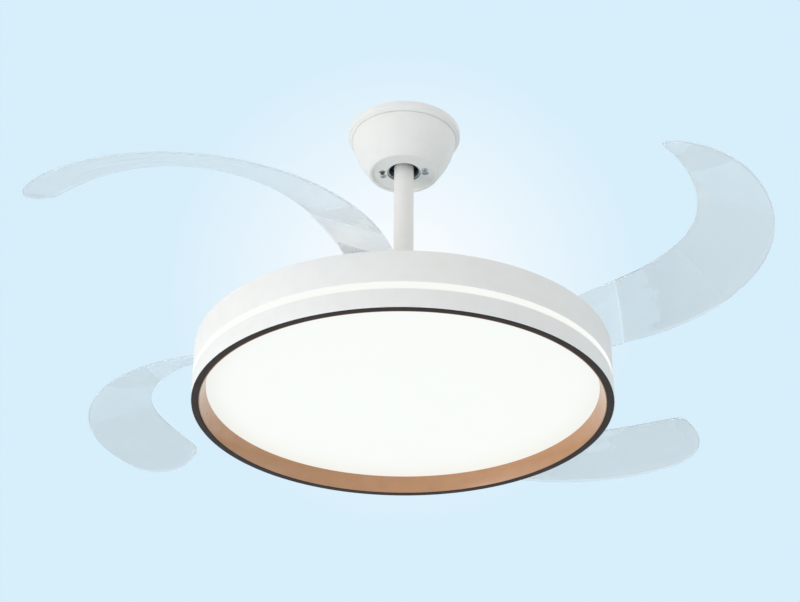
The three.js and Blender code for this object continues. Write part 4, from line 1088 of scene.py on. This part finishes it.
def to_station(mesh, number, lag=0.0):
    """Turns a piece beside the pivot by its lag and sets it at the pivot's place on the carrier."""
    turn_mesh(mesh, lag)
    shift_mesh(mesh, pivot_circle, 0)
    return turn_mesh(mesh, pivot_angles[number - 1])


rest_lags = (0, 1.5, 4.2, 0)
for number, lag in enumerate(rest_lags, 1):
    body = f"blade_{number}_leaf"
    leaf = to_station(blade_mesh("clear_leaf"), number, lag)
    add_piece(f"clear_leaf_{number}", leaf, body, clear_blade, f"blade_{number}")
    pinion = raised("pinion", [pinion_outline(), ring_of_points(pivot_bore, 32)], gear_low,
                    gear_top, 0.3)
    add_piece(f"toothed_sector_{number}", to_station(pinion, number), body, natural_nylon,
              f"blade_pinion_{number}")
    dress(frosted_arm, f"blade_arm_{number}")
    dress(steel, f"pivot_pin_{number}", f"pivot_nut_{number}")
print("leaf faces", len(leaf.polygons))

# %% [markdown]
# ## Light and surroundings
#
# The fan is lit evenly, with the soft light a little stronger from the left, as in the photograph.
# The pale blue of the surroundings is only what the camera and the shiny surfaces see, with a
# white glow behind the fan. Plain white light from all round does the lighting, so no blue falls
# on the white paint. The floor lies far below the fan and gets a little glow that only the camera
# sees, so it takes the colour of the backdrop.

# %% Floor
backdrop_blue, pale_blue = colour(215, 238, 251), colour(235, 246, 253)
floor_height, half_floor = -3.6, 9
floor_mesh = bpy.data.meshes.new("floor")
floor_corners = np.full((4, 3), floor_height)
floor_corners[:, :2] = half_floor * np.array([(-1, -1), (1, -1), (1, 1), (-1, 1)])
floor_mesh.from_pydata(floor_corners.tolist(), [], [(0, 1, 2, 3)])
pale_floor = opaque("pale_floor", (221, 240, 250), (219, 239, 249), (0.6, 0.7), dusty=0.0,
                    bump=0.02, scales={"Fine_Scale": 60.0, "Slow_Scale": 2.0})
floor_tree = pale_floor.node_tree
floor_seen = node(floor_tree, "ShaderNodeLightPath").outputs["Is Camera Ray"]
feed(floor_tree, floor_tree.nodes["Principled BSDF"], Emission_Strength=0.22,
     Emission_Color=mix(floor_tree, floor_seen, (0, 0, 0, 1), backdrop_blue))
put_on(pale_floor, floor_mesh)
new_object("floor", floor_mesh)

# %% World
world = bpy.data.worlds.new("surroundings")
bpy.context.scene.world = world
world.use_nodes = True
sky = world.node_tree
sky.nodes.clear()
ambient_light = 0.78
glow_up, glow_reach = math.radians(30.3), math.radians(8)
glow_toward = Vector((0, math.cos(glow_up), math.sin(glow_up)))
direction = node(sky, "ShaderNodeTexCoord").outputs["Generated"]
toward = node(sky, "ShaderNodeVectorMath", {"operation": "DOT_PRODUCT"}, _0=direction,
              _1=glow_toward).outputs["Value"]
off_glow = value_range(sky, sum_of(sky, "ARCCOSINE", toward), 0.0, glow_reach)
backdrop = node(sky, "ShaderNodeValToRGB", None, Fac=off_glow)
backdrop.color_ramp.elements[0].color = (1, 1, 1, 1)
backdrop.color_ramp.elements.new(0.5).color = pale_blue
backdrop.color_ramp.elements[2].color = backdrop_blue
shown = node(sky, "ShaderNodeBackground", None, Color=backdrop.outputs["Color"]).outputs[0]
ambient = node(sky, "ShaderNodeBackground", None, Color=(1, 1, 1, 1), Strength=ambient_light)
ray = node(sky, "ShaderNodeLightPath").outputs
shiny = sum_of(sky, "MAXIMUM", ray["Is Glossy Ray"], ray["Is Transmission Ray"])
chosen = node(sky, "ShaderNodeMixShader", None, _1=ambient.outputs[0], _2=shown,
              Fac=sum_of(sky, "MAXIMUM", ray["Is Camera Ray"], shiny))
node(sky, "ShaderNodeOutputWorld", None, Surface=chosen.outputs[0])
print("world", world.name)

# %% [markdown]
# Three large square lamps add the direction: the main one from the front left, a weak one from
# further left, and a small one that lifts the drum's right edge. All of them shine from a little
# below the fan, as the photograph's light does.

# %% Lamps
lamp_aim = Vector((0, 0, -0.25))


def around_fan(side, height, distance=3.0):
    """A place round the fan: degrees to the right of the front, and degrees above level."""
    side, height = math.radians(side), math.radians(height)
    level = distance * math.cos(height)
    return lamp_aim + Vector((level * math.sin(side), -level * math.cos(side),
                              distance * math.sin(height)))


def soft_lamp(name, at, size, power):
    """A square lamp that faces the fan."""
    lamp = bpy.data.lights.new(name, "AREA")
    lamp.size = size
    lamp.energy = power
    holder = new_object(name, lamp)
    holder.location = at
    holder.rotation_euler = (lamp_aim - at).to_track_quat("-Z", "Y").to_euler()


soft_lamp("window_left", around_fan(-60, -35), 1.8, 29)
soft_lamp("far_left", around_fan(-80, -22), 1.8, 4)
soft_lamp("edge_right", around_fan(84, -22), 1.2, 3)
bpy.context.scene.view_settings.view_transform = "Standard"
print("lamps", len(bpy.data.lights))
